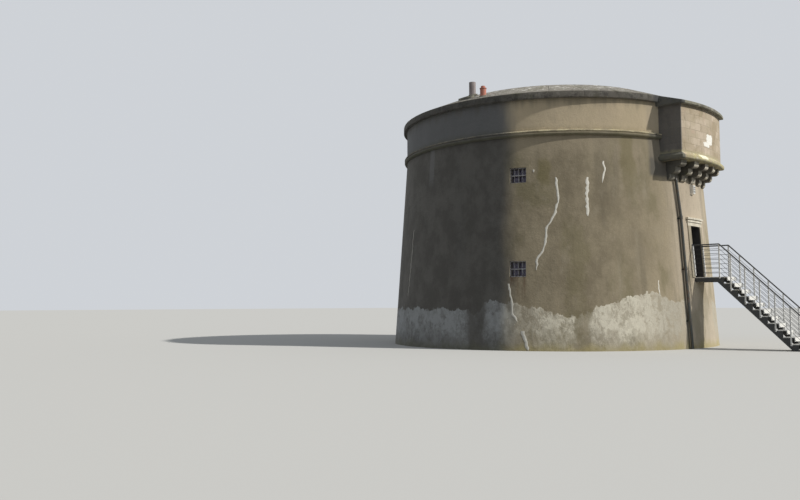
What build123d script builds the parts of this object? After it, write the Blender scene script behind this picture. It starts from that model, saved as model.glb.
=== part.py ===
from build123d import *
import os
from math import cos, radians, sin, sqrt

os.makedirs("parts", exist_ok=True)

# The tower stands on its axis, with the ground at zero. The entrance front faces -Y.
# A bearing is the turn about the axis from the entrance, in degrees, positive towards +X.

# Main wall: a battered round wall, stepped inside to carry each floor
base_radius = 6500
wall_batter = 530
wall_height = 7470
base_thickness = 2600
floor_ledge = 200
front_bearing = 15

# Floors
ground_floor_thickness = 150
floor_thickness = 250
upper_floor_top = 4900
crown_thickness = 520
vault_rise = 450
seat_gap = 0.3

# Parapet round the gun platform
string_height = 213
string_proud = 110
string_round = 55
string_fillet = 35
string_weathering = 45
parapet_height = 1320
coping_edge = 220
coping_proud = 140
coping_rise = 650
parapet_bearing = 115
firing_step_width = 700
firing_step_height = 900

# Entrance on the first floor
door_width = 800
door_height = 1880
door_sill_level = 2540
door_sill_height = 140
door_sill_length = 1100
door_set_back = 450
door_frame_width = 60
door_frame_depth = 120
door_leaf_thickness = 50
door_clearance = 3
plank_count = 5
plank_groove = 6
surround_width = 190
surround_proud = 35
lintel_height = 105
cornice_bands = 2
cornice_band = 65
cornice_groove = 32
cornice_step = 30

# Windows, two rows on three bearings
window_bearing = 68
rear_bearing = 180
window_sector = 30
window_width = 580
window_height = 550
lower_sill_level = 2530
upper_sill_level = 5830
window_set_back = 320
window_frame_width = 55
window_frame_depth = 70
glazing_bar = 28
glass_thickness = 6

# Machicolated bay over the entrance
bay_reach = 790
bay_width = 3520
bay_wall = 450
bay_apron = 550
bay_sill_height = 250
bay_sill_proud = 120
bay_sill_weathering = 110
bay_sill_round = 70
bay_coping_fall = 265
bay_coping_edge = 100
corbel_bearing = 6.7
corbel_width = 300
corbel_tier_height = 225
corbel_step = 255
corbel_nose = 135
corbel_set_in = 60
corbel_tiers = 3
corbel_count = 5

# Chimney: a thin bed on the slope of the coping, and two clay pots
chimney_bed_bearing = -94
chimney_bed_arc = 6
chimney_bed_inset = 510
chimney_bed_width = 450
chimney_bed_thickness = 90
pot_wall = 25
buff_pot_bearing = -89.4
buff_pot_inset = 810
buff_pot_radius = 125
buff_pot_height = 475
red_pot_bearing = -82.4
red_pot_inset = 510
red_pot_radius = 113
red_pot_height = 370
red_pot_neck = 78
red_pot_neck_height = 75
collar_height = 45
collar_proud = 16

# Rainwater pipe beside the entrance, its top length set over to one side
pipe_bearing = -10.3
pipe_head_bearing = -11.3
pipe_radius = 50
pipe_stand_off = 45
pipe_past_corbels = 105
pipe_length = 1830
pipe_first_joint = 960
pipe_joints = 3
pipe_bend = 100
pipe_inlet_rise = 40
socket_length = 110
socket_thickness = 14

# Lamp over the entrance
lamp_under_corbels = 25
lamp_width = 230
lamp_height = 370
lamp_depth = 150
lamp_taper = 12

# Steel stair and landing
landing_length = 1165
stair_risers = 11
stair_going = 240
stair_width = 840
plate_thickness = 25
tread_depth = 380
tread_front = 138
stringer_thickness = 20
stringer_inset = 20
stringer_below_noses = 540
landing_fascia = 170

# Railings
post_size = 42
post_drop = 55
landing_rail_height = 1160
rail_radius = 23
rail_saddle = 4
rail_overrun = 80
guard_bars = 6
guard_bar_size = 14
landing_post_back = 265
treads_per_post = 2
stair_posts = 6
wall_post_foot = 60

# Levels and radii that follow from the sizes above
wall_top_radius = base_radius - wall_batter
store_radius = base_radius - base_thickness
first_radius = store_radius + floor_ledge
upper_radius = first_radius + floor_ledge
platform_radius = upper_radius + floor_ledge
first_floor_top = door_sill_level - door_sill_height
first_seat = first_floor_top - floor_thickness
upper_seat = upper_floor_top - floor_thickness
door_head_level = door_sill_level + door_height
coping_underside = wall_height + parapet_height
coping_edge_top = coping_underside + coping_edge
coping_radius = wall_top_radius + coping_proud
crest_level = coping_edge_top + coping_rise
coping_slope = coping_rise / (coping_radius - platform_radius)
crest_underside = coping_underside + coping_slope * (wall_top_radius - platform_radius)
vault_spring = wall_height - crown_thickness - vault_rise
bay_radius = wall_top_radius + bay_reach
bay_half = bay_width / 2
bay_inner_half = bay_half - bay_wall
bay_inner_radius = bay_radius - bay_wall
bay_floor_level = wall_height - bay_apron
corbel_top = bay_floor_level - bay_sill_height
corbel_bottom = corbel_top - corbel_tiers * corbel_tier_height
pipe_top = corbel_bottom + pipe_past_corbels
lamp_level = corbel_bottom - lamp_under_corbels - lamp_height / 2
bay_coping_radius = bay_radius + coping_proud
bay_coping_edge_top = coping_edge_top - bay_coping_fall
bay_coping_underside = bay_coping_edge_top - bay_coping_edge


def wall_radius(level):
    """Outer radius of the battered wall at a height above the ground."""
    return base_radius - wall_batter * level / wall_height


def outward(bearing):
    """Level direction that leaves the axis on a bearing."""
    return Vector(sin(radians(bearing)), -cos(radians(bearing)), 0)


def section_plane(bearing):
    """Upright plane through the axis: x runs outwards on the bearing, y runs up."""
    return Plane((0, 0, 0), x_dir=outward(bearing), z_dir=outward(bearing - 90))


def face_plane(bearing):
    """Upright plane on the axis that looks outwards on the bearing: x runs right, y runs up."""
    return Plane((0, 0, 0), x_dir=outward(bearing + 90), z_dir=outward(bearing))


def section(bearing, points):
    """Closed outline of (radius, level) points on a section plane."""
    with BuildSketch(section_plane(bearing)) as outline:
        with BuildLine():
            Polyline(*points, close=True)
        make_face()
    return outline.sketch


def outside_of_tower(proud=0):
    """Outline of all that lies inside the tower's outer face, to cut what stands against it."""
    points = [
        (0, 0),
        (base_radius + proud, 0),
        (wall_top_radius + proud, wall_height),
        (wall_top_radius + proud, crest_level),
        (0, crest_level),
    ]
    return section(0, points)


def coping_top(radius):
    """Level of the sloping top of the coping at a radius."""
    return coping_edge_top + coping_slope * (coping_radius - radius)


def save(piece, label):
    piece.part.label = label
    export_step(piece.part, f"parts/{label}.step")


# Main wall, built up in sectors with their faces on radial lines
wall_outline = [
    (store_radius, 0),
    (base_radius, 0),
    (wall_top_radius, wall_height),
    (platform_radius, wall_height),
    (platform_radius, vault_spring),
    (upper_radius, vault_spring),
    (upper_radius, upper_seat),
    (first_radius, upper_seat),
    (first_radius, first_seat),
    (store_radius, first_seat),
]


def wall_sector(label, start, end):
    with BuildPart() as sector:
        revolve(section(start, wall_outline), axis=Axis.Z, revolution_arc=end - start)
    save(sector, label)


def window_wall(label, bearing):
    start = bearing - window_sector / 2
    with BuildPart() as sector:
        revolve(section(start, wall_outline), axis=Axis.Z, revolution_arc=window_sector)
        with BuildSketch(face_plane(bearing)):
            for sill_level in (lower_sill_level, upper_sill_level):
                with Locations((0, sill_level + window_height / 2)):
                    Rectangle(window_width, window_height)
        extrude(amount=base_radius, mode=Mode.SUBTRACT)
    save(sector, label)


window_edge = window_bearing - window_sector / 2
window_far_edge = window_bearing + window_sector / 2
rear_edge = rear_bearing - window_sector / 2

wall_sector("left_front_wall", -window_edge, -front_bearing)
wall_sector("right_front_wall", front_bearing, window_edge)
wall_sector("left_rear_wall", -rear_edge, -window_far_edge)
wall_sector("right_rear_wall", window_far_edge, rear_edge)
window_wall("left_window_wall", -window_bearing)
window_wall("right_window_wall", window_bearing)
window_wall("rear_window_wall", rear_bearing)

# Front of the wall: a pier on each side of the doorway, the wall below it and the head over it
with BuildPart() as left_door_pier:
    revolve(section(-front_bearing, wall_outline), axis=Axis.Z, revolution_arc=front_bearing)
    split(bisect_by=Plane.YZ.offset(-door_width / 2), keep=Keep.BOTTOM)
save(left_door_pier, "left_door_pier")

with BuildPart() as right_door_pier:
    revolve(section(0, wall_outline), axis=Axis.Z, revolution_arc=front_bearing)
    split(bisect_by=Plane.YZ.offset(door_width / 2), keep=Keep.TOP)
save(right_door_pier, "right_door_pier")


def wall_at_doorway(label, bottom, top):
    with BuildPart() as block:
        revolve(section(-front_bearing, wall_outline), axis=Axis.Z, revolution_arc=2 * front_bearing)
        with BuildSketch(Plane.XY.offset(bottom)):
            with Locations((0, -base_radius / 2)):
                Rectangle(door_width, base_radius)
        extrude(amount=top - bottom, mode=Mode.INTERSECT)
    save(block, label)


wall_at_doorway("wall_below_door", 0, first_floor_top)
wall_at_doorway("wall_over_door", door_head_level, wall_height)

# Floors: a slab on the ground, and two that rest on the ledges of the wall
with BuildPart() as ground_floor:
    Cylinder(
        store_radius - seat_gap,
        ground_floor_thickness,
        align=(Align.CENTER, Align.CENTER, Align.MIN),
    )
save(ground_floor, "ground_floor")


def floor_disc(label, radius, seat):
    with BuildPart() as disc:
        with BuildSketch(Plane.XY.offset(seat)):
            Circle(radius - seat_gap)
        extrude(amount=floor_thickness)
    save(disc, label)


floor_disc("first_floor", first_radius, first_seat)
floor_disc("upper_floor", upper_radius, upper_seat)

# Gun platform: a shallow domed vault, paved level with the top of the wall
with BuildPart() as gun_platform:
    with BuildSketch(section_plane(0)):
        with BuildLine():
            crown = (0, vault_spring + vault_rise)
            soffit = TangentArc(crown, (upper_radius, vault_spring), tangent=(1, 0))
            Polyline(
                soffit @ 1,
                (platform_radius - seat_gap, vault_spring),
                (platform_radius - seat_gap, wall_height),
                (0, wall_height),
                crown,
            )
        make_face()
    revolve(axis=Axis.Z)
save(gun_platform, "gun_platform")

# Firing step round the foot of the parapet, open where the passage runs out to the bay
with BuildPart() as firing_step:
    with BuildSketch(Plane.XY.offset(wall_height)):
        Circle(platform_radius - seat_gap)
        Circle(platform_radius - firing_step_width, mode=Mode.SUBTRACT)
        with Locations((0, -platform_radius / 2)):
            Rectangle(2 * bay_inner_half, platform_radius, mode=Mode.SUBTRACT)
    extrude(amount=firing_step_height)
save(firing_step, "firing_step")

# Parapet, with a broad top that slopes down and out, and the coping that covers the slope
parapet_outline = [
    (platform_radius, wall_height),
    (wall_top_radius, wall_height),
    (wall_top_radius, coping_underside),
    (platform_radius, crest_underside),
]
coping_outline = [
    (wall_top_radius, coping_underside),
    (coping_radius, coping_underside),
    (coping_radius, coping_edge_top),
    (platform_radius, crest_level),
    (platform_radius, crest_underside),
]


def beside_the_passage(side):
    """Plane of the passage wall and the half to keep, for side -1 or 1."""
    keep = Keep.TOP if side > 0 else Keep.BOTTOM
    return dict(bisect_by=Plane.YZ.offset(side * bay_inner_half), keep=keep)


for name, side, start in (("left", -1, -parapet_bearing), ("right", 1, 0)):
    with BuildPart() as parapet:
        revolve(section(start, parapet_outline), axis=Axis.Z, revolution_arc=parapet_bearing)
        split(**beside_the_passage(side))
    save(parapet, f"{name}_parapet")

    with BuildPart() as coping:
        revolve(section(start, coping_outline), axis=Axis.Z, revolution_arc=parapet_bearing)
        split(**beside_the_passage(side))
        with BuildSketch(Plane.XY.offset(coping_underside)):
            Circle(coping_radius)
            Circle(wall_top_radius, mode=Mode.SUBTRACT)
            with Locations((0, -coping_radius / 2)):
                Rectangle(bay_width + 2 * coping_proud, coping_radius, mode=Mode.INTERSECT)
        extrude(amount=crest_level - coping_underside, mode=Mode.SUBTRACT)
    save(coping, f"{name}_coping")

rear_arc = 360 - 2 * parapet_bearing
with BuildPart() as rear_parapet:
    revolve(section(parapet_bearing, parapet_outline), axis=Axis.Z, revolution_arc=rear_arc)
save(rear_parapet, "rear_parapet")

with BuildPart() as rear_coping:
    revolve(section(parapet_bearing, coping_outline), axis=Axis.Z, revolution_arc=rear_arc)
save(rear_coping, "rear_coping")

# String course at the foot of the parapet: a rounded body under a thin square fillet with a
# weathered top, stopped against the bay
string_radius = wall_top_radius + string_proud
string_top = wall_height + string_height
fillet_bottom = string_top - string_weathering - string_fillet
with BuildPart() as string_course:
    with BuildSketch(section_plane(0)):
        with BuildLine():
            body = ThreePointArc(
                (string_radius - string_round, wall_height),
                (string_radius, (wall_height + fillet_bottom) / 2),
                (string_radius - string_round, fillet_bottom),
            )
            Polyline(
                body @ 1,
                (string_radius, fillet_bottom),
                (string_radius, fillet_bottom + string_fillet),
                (wall_top_radius, string_top),
                (wall_top_radius, wall_height),
                body @ 0,
            )
        make_face()
    revolve(axis=Axis.Z)
    with BuildSketch(Plane.XY.offset(wall_height)):
        with Locations((0, -base_radius / 2)):
            Rectangle(bay_width, base_radius)
    extrude(amount=string_height, mode=Mode.SUBTRACT)
save(string_course, "string_course")


# Machicolated bay: two cheeks and a curved front that stand out on corbels over the entrance,
# with open slots between the corbels behind the front
def bay_plan(level, half_width, radius):
    """Plan of the bay from the axis out to a curved front, at a level."""
    with BuildSketch(Plane.XY.offset(level)) as plan:
        Circle(radius)
        with Locations((0, -radius / 2)):
            Rectangle(2 * half_width, radius, mode=Mode.INTERSECT)
    return plan.sketch


bay_wall_height = bay_coping_underside - bay_floor_level
with BuildPart() as bay_front_wall:
    with BuildSketch(Plane.XY.offset(bay_floor_level)):
        Circle(bay_radius)
        Circle(bay_inner_radius, mode=Mode.SUBTRACT)
        with Locations((0, -bay_radius / 2)):
            Rectangle(bay_width, bay_radius, mode=Mode.INTERSECT)
    extrude(amount=bay_wall_height)
save(bay_front_wall, "bay_front_wall")

for name, side in (("left", -1), ("right", 1)):
    with BuildPart() as cheek:
        with BuildSketch(Plane.XY.offset(bay_floor_level)):
            with Locations((side * (bay_half - bay_wall / 2), -bay_inner_radius / 2)):
                Rectangle(bay_wall, bay_inner_radius)
            Circle(bay_inner_radius, mode=Mode.INTERSECT)
        extrude(amount=bay_wall_height)
        revolve(outside_of_tower(), axis=Axis.Z, mode=Mode.SUBTRACT)
    save(cheek, f"bay_{name}_cheek")

# Sill of the bay, with a weathered top edge and a rounded lower one, round the open well
with BuildPart() as bay_sill:
    extrude(
        bay_plan(corbel_top, bay_half + bay_sill_proud, bay_radius + bay_sill_proud),
        amount=bay_sill_height,
    )
    chamfer(bay_sill.edges().group_by(Axis.Z)[-1], length=bay_sill_weathering)
    fillet(bay_sill.edges().group_by(Axis.Z)[0], radius=bay_sill_round)
    extrude(
        bay_plan(corbel_top, bay_inner_half, bay_inner_radius),
        amount=bay_sill_height,
        mode=Mode.SUBTRACT,
    )
    revolve(outside_of_tower(), axis=Axis.Z, mode=Mode.SUBTRACT)
save(bay_sill, "bay_sill")

# Coping of the bay: its top runs on down from the edge of the coping of the parapet
bay_coping_outline = [
    (wall_top_radius, bay_coping_underside),
    (bay_coping_radius, bay_coping_underside),
    (bay_coping_radius, bay_coping_edge_top),
    (coping_radius, coping_edge_top),
    (wall_top_radius, coping_top(wall_top_radius)),
]
with BuildPart() as bay_coping:
    extrude(
        bay_plan(bay_coping_underside, bay_half + coping_proud, bay_coping_radius),
        amount=crest_level - bay_coping_underside,
    )
    revolve(section(0, bay_coping_outline), axis=Axis.Z, mode=Mode.INTERSECT)
    extrude(
        bay_plan(bay_coping_underside, bay_inner_half, bay_inner_radius),
        amount=crest_level - bay_coping_underside,
        mode=Mode.SUBTRACT,
    )
save(bay_coping, "bay_coping")

# Corbels: each steps out in tiers, and every tier has a rounded nose
with BuildPart() as corbels:
    for place in range(corbel_count):
        with BuildSketch(section_plane((place - (corbel_count - 1) / 2) * corbel_bearing)):
            with BuildLine():
                reach = bay_radius - corbel_set_in
                top = corbel_top
                root = reach - corbel_tiers * corbel_step - corbel_width
                Line((root, top), (reach, top))
                for tier in range(corbel_tiers):
                    bottom = top - corbel_tier_height
                    back = reach - corbel_step if tier < corbel_tiers - 1 else root
                    Line((reach, top), (reach, bottom + corbel_nose))
                    CenterArc((reach - corbel_nose, bottom + corbel_nose), corbel_nose, 0, -90)
                    Line((reach - corbel_nose, bottom), (back, bottom))
                    reach = back
                    top = bottom
                Line((root, top), (root, corbel_top))
            make_face()
        extrude(amount=corbel_width / 2, both=True)
    revolve(outside_of_tower(), axis=Axis.Z, mode=Mode.SUBTRACT)
save(corbels, "corbels")

# Entrance: dressed sill, jambs and lintel, with a plank door deep in the reveal
with BuildPart() as door_sill:
    with BuildSketch(Plane.XY.offset(first_floor_top)):
        with Locations((0, -base_radius / 2)):
            Rectangle(door_width, base_radius)
        Circle(wall_radius(door_sill_level) - door_sill_length, mode=Mode.SUBTRACT)
    extrude(amount=door_sill_height)
    revolve(outside_of_tower(), axis=Axis.Z, mode=Mode.INTERSECT)
save(door_sill, "door_sill")

surround_half = door_width / 2 + surround_width
lintel_top = door_head_level + lintel_height
with BuildPart() as door_surround:
    revolve(outside_of_tower(surround_proud), axis=Axis.Z)
    with BuildSketch(face_plane(0)):
        with Locations((0, door_sill_level)):
            Rectangle(
                2 * surround_half,
                lintel_top - door_sill_level,
                align=(Align.CENTER, Align.MIN),
            )
            Rectangle(
                door_width,
                door_height,
                align=(Align.CENTER, Align.MIN),
                mode=Mode.SUBTRACT,
            )
    extrude(amount=base_radius + surround_proud, mode=Mode.INTERSECT)
    revolve(outside_of_tower(), axis=Axis.Z, mode=Mode.SUBTRACT)
save(door_surround, "door_surround")


def cornice_course(bottom, height, proud):
    """Flat band across the head of the entrance, as wide and as proud as its place in the cornice."""
    with BuildPart() as course:
        revolve(outside_of_tower(proud), axis=Axis.Z)
        with BuildSketch(face_plane(0)):
            with Locations((0, bottom)):
                Rectangle(
                    2 * (surround_half + proud - surround_proud),
                    height,
                    align=(Align.CENTER, Align.MIN),
                )
        extrude(amount=base_radius + proud, mode=Mode.INTERSECT)
    return course.part


# Cornice: bands that step out one above the other, with a groove under each
courses = []
for band in range(cornice_bands):
    groove_bottom = lintel_top + band * (cornice_groove + cornice_band)
    band_proud = surround_proud + (band + 1) * cornice_step
    courses.append(cornice_course(groove_bottom, cornice_groove, surround_proud))
    courses.append(cornice_course(groove_bottom + cornice_groove, cornice_band, band_proud))

with BuildPart() as door_cornice:
    add(courses)
    revolve(outside_of_tower(), axis=Axis.Z, mode=Mode.SUBTRACT)
save(door_cornice, "door_cornice")

door_face = wall_radius(door_head_level) - door_set_back
with BuildPart() as door_frame:
    with BuildSketch(face_plane(0).offset(door_face - door_frame_depth)):
        with Locations((0, door_sill_level)):
            Rectangle(door_width, door_height, align=(Align.CENTER, Align.MIN))
            Rectangle(
                door_width - 2 * door_frame_width,
                door_height - door_frame_width,
                align=(Align.CENTER, Align.MIN),
                mode=Mode.SUBTRACT,
            )
    extrude(amount=door_frame_depth)
save(door_frame, "door_frame")

leaf_width = door_width - 2 * door_frame_width - 2 * door_clearance
leaf_height = door_height - door_frame_width - door_clearance
with BuildPart() as door_leaf:
    with BuildSketch(face_plane(0).offset(door_face - door_leaf_thickness)):
        with Locations((0, door_sill_level)):
            Rectangle(leaf_width, leaf_height, align=(Align.CENTER, Align.MIN))
    extrude(amount=door_leaf_thickness)
    with BuildSketch(face_plane(0).offset(door_face - plank_groove)):
        with Locations((0, door_sill_level + leaf_height / 2)):
            with GridLocations(leaf_width / plank_count, 0, plank_count - 1, 1):
                Rectangle(plank_groove, leaf_height)
    extrude(amount=plank_groove, mode=Mode.SUBTRACT)
save(door_leaf, "door_leaf")

# Windows: a small framed casement deep in each opening, glazed from behind
window_bearings = (-window_bearing, window_bearing, rear_bearing)


def casement_plane(bearing, sill_level):
    return face_plane(bearing).offset(wall_radius(sill_level) - window_set_back)


for row, sill_level in (("lower", lower_sill_level), ("upper", upper_sill_level)):
    middle = sill_level + window_height / 2
    with BuildPart() as frames:
        for bearing in window_bearings:
            with BuildSketch(casement_plane(bearing, sill_level)):
                with Locations((0, middle)):
                    Rectangle(window_width, window_height)
                    Rectangle(
                        window_width - 2 * window_frame_width,
                        window_height - 2 * window_frame_width,
                        mode=Mode.SUBTRACT,
                    )
                    Rectangle(glazing_bar, window_height)
                    Rectangle(window_width, glazing_bar)
            extrude(amount=window_frame_depth)
    save(frames, f"{row}_window_frames")

    with BuildPart() as panes:
        for bearing in window_bearings:
            with BuildSketch(casement_plane(bearing, sill_level)):
                with Locations((0, middle)):
                    Rectangle(window_width - window_frame_width, window_height - window_frame_width)
            extrude(amount=-glass_thickness)
    save(panes, f"{row}_window_glass")

# Chimney: a thin rendered bed on the slope of the coping, with two clay pots beside each other
bed_outer = coping_radius - chimney_bed_inset
bed_inner = bed_outer - chimney_bed_width
bed_outline = [
    (bed_inner, coping_top(bed_inner)),
    (bed_outer, coping_top(bed_outer)),
    (bed_outer, coping_top(bed_outer) + chimney_bed_thickness),
    (bed_inner, coping_top(bed_inner) + chimney_bed_thickness),
]
with BuildPart() as chimney_stack:
    revolve(section(chimney_bed_bearing, bed_outline), axis=Axis.Z, revolution_arc=chimney_bed_arc)
save(chimney_stack, "chimney_stack")


def chimney_pot(label, bearing, inset, bed, profile):
    """Turned clay pot on the slope, from (radius, level) points of its outside, foot to mouth."""
    radius = coping_radius - inset
    seat = coping_top(radius) + bed
    foot = outward(bearing) * radius + Vector(0, 0, seat)
    widest = profile[0][0]
    mouth_radius, height = profile[-1]
    with BuildPart() as pot:
        with BuildSketch(Plane(foot, x_dir=outward(bearing), z_dir=outward(bearing - 90))):
            with BuildLine():
                Polyline(
                    (mouth_radius - pot_wall, -widest),
                    (widest, -widest),
                    *profile,
                    (mouth_radius - pot_wall, height),
                    close=True,
                )
            make_face()
        revolve(axis=Axis(foot, (0, 0, 1)))
        below_seat = [
            (0, wall_height),
            (coping_radius, wall_height),
            (coping_radius, coping_edge_top + bed),
            (platform_radius, crest_level + bed),
            (0, crest_level + bed),
        ]
        revolve(section(0, below_seat), axis=Axis.Z, mode=Mode.SUBTRACT)
    save(pot, label)


buff_profile = [(buff_pot_radius, 0), (buff_pot_radius, buff_pot_height)]
collar_top = red_pot_height - red_pot_neck_height
red_profile = [
    (red_pot_radius, 0),
    (red_pot_radius, collar_top - collar_height),
    (red_pot_radius + collar_proud, collar_top - collar_height + collar_proud),
    (red_pot_radius + collar_proud, collar_top),
    (red_pot_neck, collar_top),
    (red_pot_neck, red_pot_height),
]
chimney_pot("buff_chimney_pot", buff_pot_bearing, buff_pot_inset, chimney_bed_thickness, buff_profile)
chimney_pot("red_chimney_pot", red_pot_bearing, red_pot_inset, 0, red_profile)

# Cast-iron rainwater pipe, in socketed lengths that follow the batter of the wall. Above the last
# joint it leans aside, and a bend takes it into the wall.
pipe_centre = pipe_stand_off + pipe_radius
last_joint = pipe_first_joint + (pipe_joints - 1) * pipe_length


def on_pipe(level, bearing=pipe_bearing):
    """Point of the pipe's middle line beside the wall at a level."""
    return outward(bearing) * (wall_radius(level) + pipe_centre) + Vector(0, 0, level)


pipe_direction = (on_pipe(last_joint) - on_pipe(0)).normalized()
pipe_inlet_level = pipe_top + pipe_inlet_rise
pipe_inlet = outward(pipe_head_bearing) * (wall_radius(pipe_inlet_level) - pipe_centre)
with BuildPart() as downpipe:
    with BuildLine() as pipe_line:
        FilletPolyline(
            on_pipe(0),
            on_pipe(last_joint + socket_length),
            on_pipe(pipe_top, pipe_head_bearing),
            pipe_inlet + Vector(0, 0, pipe_inlet_level),
            radius=pipe_bend,
        )
    with BuildSketch(Plane(on_pipe(0), z_dir=pipe_direction)):
        Circle(pipe_radius)
    sweep(path=pipe_line.line)
    for joint in range(pipe_joints):
        joint_level = pipe_first_joint + joint * pipe_length
        with BuildSketch(Plane(on_pipe(joint_level), z_dir=pipe_direction)):
            Circle(pipe_radius + socket_thickness)
        extrude(amount=socket_length)
        ear_plane = Plane(on_pipe(joint_level), x_dir=outward(pipe_bearing + 90), z_dir=pipe_direction)
        with BuildSketch(ear_plane):
            with Locations((0, pipe_centre / 2)):
                Rectangle(pipe_radius, 2 * pipe_centre)
        extrude(amount=socket_length / 2)
    revolve(outside_of_tower(), axis=Axis.Z, mode=Mode.SUBTRACT)
save(downpipe, "downpipe")

# Bulkhead lamp on the wall between the entrance and the corbels
with BuildPart() as wall_lamp:
    with BuildSketch(face_plane(0).offset(wall_radius(lamp_level + lamp_height))):
        with Locations((0, lamp_level)):
            Rectangle(lamp_width, lamp_height)
    extrude(amount=lamp_depth, taper=lamp_taper)
    with BuildSketch(face_plane(0).offset(wall_radius(lamp_level + lamp_height))):
        with Locations((0, lamp_level)):
            Rectangle(lamp_width, lamp_height)
    extrude(amount=-lamp_depth)
    revolve(outside_of_tower(), axis=Axis.Z, mode=Mode.SUBTRACT)
save(wall_lamp, "wall_lamp")

# Steel stair: it runs straight out from the entrance and down to the ground
stair_rise = door_sill_level / stair_risers
landing_nose = wall_radius(door_sill_level) + landing_length
stair_pitch = stair_rise / stair_going
stair_half = stair_width / 2


def nosing_out(level):
    """Distance from the axis where the line through the noses is at a level."""
    return landing_nose + (door_sill_level - level) / stair_pitch


def tread_nose(step):
    """Distance from the axis to the nose of a tread, counted down from the landing."""
    return landing_nose + step * stair_going


def tread_level(step):
    return door_sill_level - step * stair_rise


def folded_plate(step, depth):
    """Section of a tread: a flat top with a deep front, as (distance, level) points."""
    nose = tread_nose(step)
    level = tread_level(step)
    return [
        (-nose, level),
        (-nose, level - tread_front),
        (-nose + plate_thickness, level - tread_front),
        (-nose + plate_thickness, level - plate_thickness),
        (-nose + depth, level - plate_thickness),
        (-nose + depth, level),
    ]


with BuildPart() as landing_deck:
    with BuildSketch(Plane.YZ):
        with BuildLine():
            Polyline(*folded_plate(0, 2 * landing_length), close=True)
        make_face()
    extrude(amount=stair_half, both=True)
    revolve(outside_of_tower(), axis=Axis.Z, mode=Mode.SUBTRACT)
save(landing_deck, "landing_deck")

with BuildPart() as stair_treads:
    for step in range(1, stair_risers):
        with BuildSketch(Plane.YZ):
            with BuildLine():
                Polyline(*folded_plate(step, tread_depth), close=True)
            make_face()
        extrude(amount=stair_half, both=True)
save(stair_treads, "stair_treads")

# Stringers: plates cut in a saw-tooth that carries the back of each tread, and the landing
fascia_bottom = door_sill_level - landing_fascia
stringer_x = stair_half - stringer_inset - stringer_thickness / 2
saw_tooth = []
for step in range(stair_risers):
    back = tread_nose(step) - tread_depth + stair_going
    seat = tread_level(step) - plate_thickness
    saw_tooth.append((-back, seat))
    saw_tooth.append((-back, max(seat - stair_rise, 0)))

for name, side in (("left", -1), ("right", 1)):
    with BuildPart() as stringer:
        with BuildSketch(Plane.YZ.offset(side * stringer_x)):
            with BuildLine():
                Polyline(
                    (-platform_radius, door_sill_level - plate_thickness),
                    *saw_tooth,
                    (-nosing_out(stringer_below_noses), 0),
                    (-nosing_out(fascia_bottom + stringer_below_noses), fascia_bottom),
                    (-platform_radius, fascia_bottom),
                    close=True,
                )
            make_face()
        extrude(amount=stringer_thickness / 2, both=True)
        revolve(outside_of_tower(), axis=Axis.Z, mode=Mode.SUBTRACT)
    save(stringer, f"{name}_stringer")

# Railings: square posts bolted to the ends of the treads, a round handrail and thin guard bars
rail_level = door_sill_level + landing_rail_height
post_below_rail = rail_radius - rail_saddle
landing_post = landing_nose - landing_post_back
rail_x = stair_half + post_size / 2
post_steps = [treads_per_post * (place + 1) for place in range(stair_posts)]


def rail_slope_level(out, below=0):
    """Level of the handrail over the stair, or of a guard bar a distance below it."""
    return rail_level - (out - landing_post) * stair_pitch - below


def post_outline(out, bottom, top):
    half = post_size / 2
    return [(-out - half, bottom), (-out + half, bottom), (-out + half, top), (-out - half, top)]


def post_out(step):
    """Middle of the post at the back edge of a tread."""
    return tread_nose(step) - tread_depth + post_size / 2


def surround_face(level):
    """Distance from the axis to the face of the surround, in line with the railing."""
    return sqrt((wall_radius(level) + surround_proud) ** 2 - rail_x**2)


newel_out = post_out(post_steps[-1])
rail_end = newel_out + rail_overrun
guard_pitch = landing_rail_height / (guard_bars + 1)

for name, side in (("left", -1), ("right", 1)):
    rail_plane = Plane.YZ.offset(side * rail_x)
    with BuildPart() as rails:
        with BuildSketch(rail_plane):
            for bar in range(1, guard_bars + 1):
                below = bar * guard_pitch
                half = guard_bar_size / 2
                with BuildLine():
                    Polyline(
                        (-platform_radius, rail_level - below + half),
                        (-landing_post, rail_level - below + half),
                        (-newel_out, rail_slope_level(newel_out, below) + half),
                        (-newel_out, rail_slope_level(newel_out, below) - half),
                        (-landing_post, rail_level - below - half),
                        (-platform_radius, rail_level - below - half),
                        close=True,
                    )
                make_face()
        extrude(amount=guard_bar_size / 2, both=True)
        with BuildLine(rail_plane) as rail_line:
            Polyline(
                (-platform_radius, rail_level),
                (-landing_post, rail_level),
                (-rail_end, rail_slope_level(rail_end)),
            )
        with BuildSketch(Plane(rail_line.line @ 0, z_dir=rail_line.line % 0)):
            Circle(rail_radius)
        sweep(path=rail_line.line, transition=Transition.ROUND)
        revolve(outside_of_tower(surround_proud), axis=Axis.Z, mode=Mode.SUBTRACT)
    save(rails, f"{name}_rails")

    with BuildPart() as posts:
        with BuildSketch(rail_plane):
            with BuildLine():
                top = rail_level - post_below_rail
                Polyline(*post_outline(landing_post, door_sill_level - post_drop, top), close=True)
            make_face()
            for step in post_steps:
                out = post_out(step)
                foot = max(tread_level(step) - post_drop, 0)
                top = rail_slope_level(out, post_below_rail)
                with BuildLine():
                    Polyline(*post_outline(out, foot, top), close=True)
                make_face()
            foot_level = door_sill_level + wall_post_foot
            head_level = rail_level - post_below_rail
            with BuildLine():
                Polyline(
                    (-surround_face(foot_level) - post_size, foot_level),
                    (-surround_face(foot_level) + post_size, foot_level),
                    (-surround_face(head_level) + post_size, head_level),
                    (-surround_face(head_level) - post_size, head_level),
                    close=True,
                )
            make_face()
        extrude(amount=post_size / 2, both=True)
        revolve(outside_of_tower(surround_proud), axis=Axis.Z, mode=Mode.SUBTRACT)
        add(rails.part, mode=Mode.SUBTRACT)
    save(posts, f"{name}_posts")
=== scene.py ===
import math
import random

import bpy
from mathutils import Matrix, Vector


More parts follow.
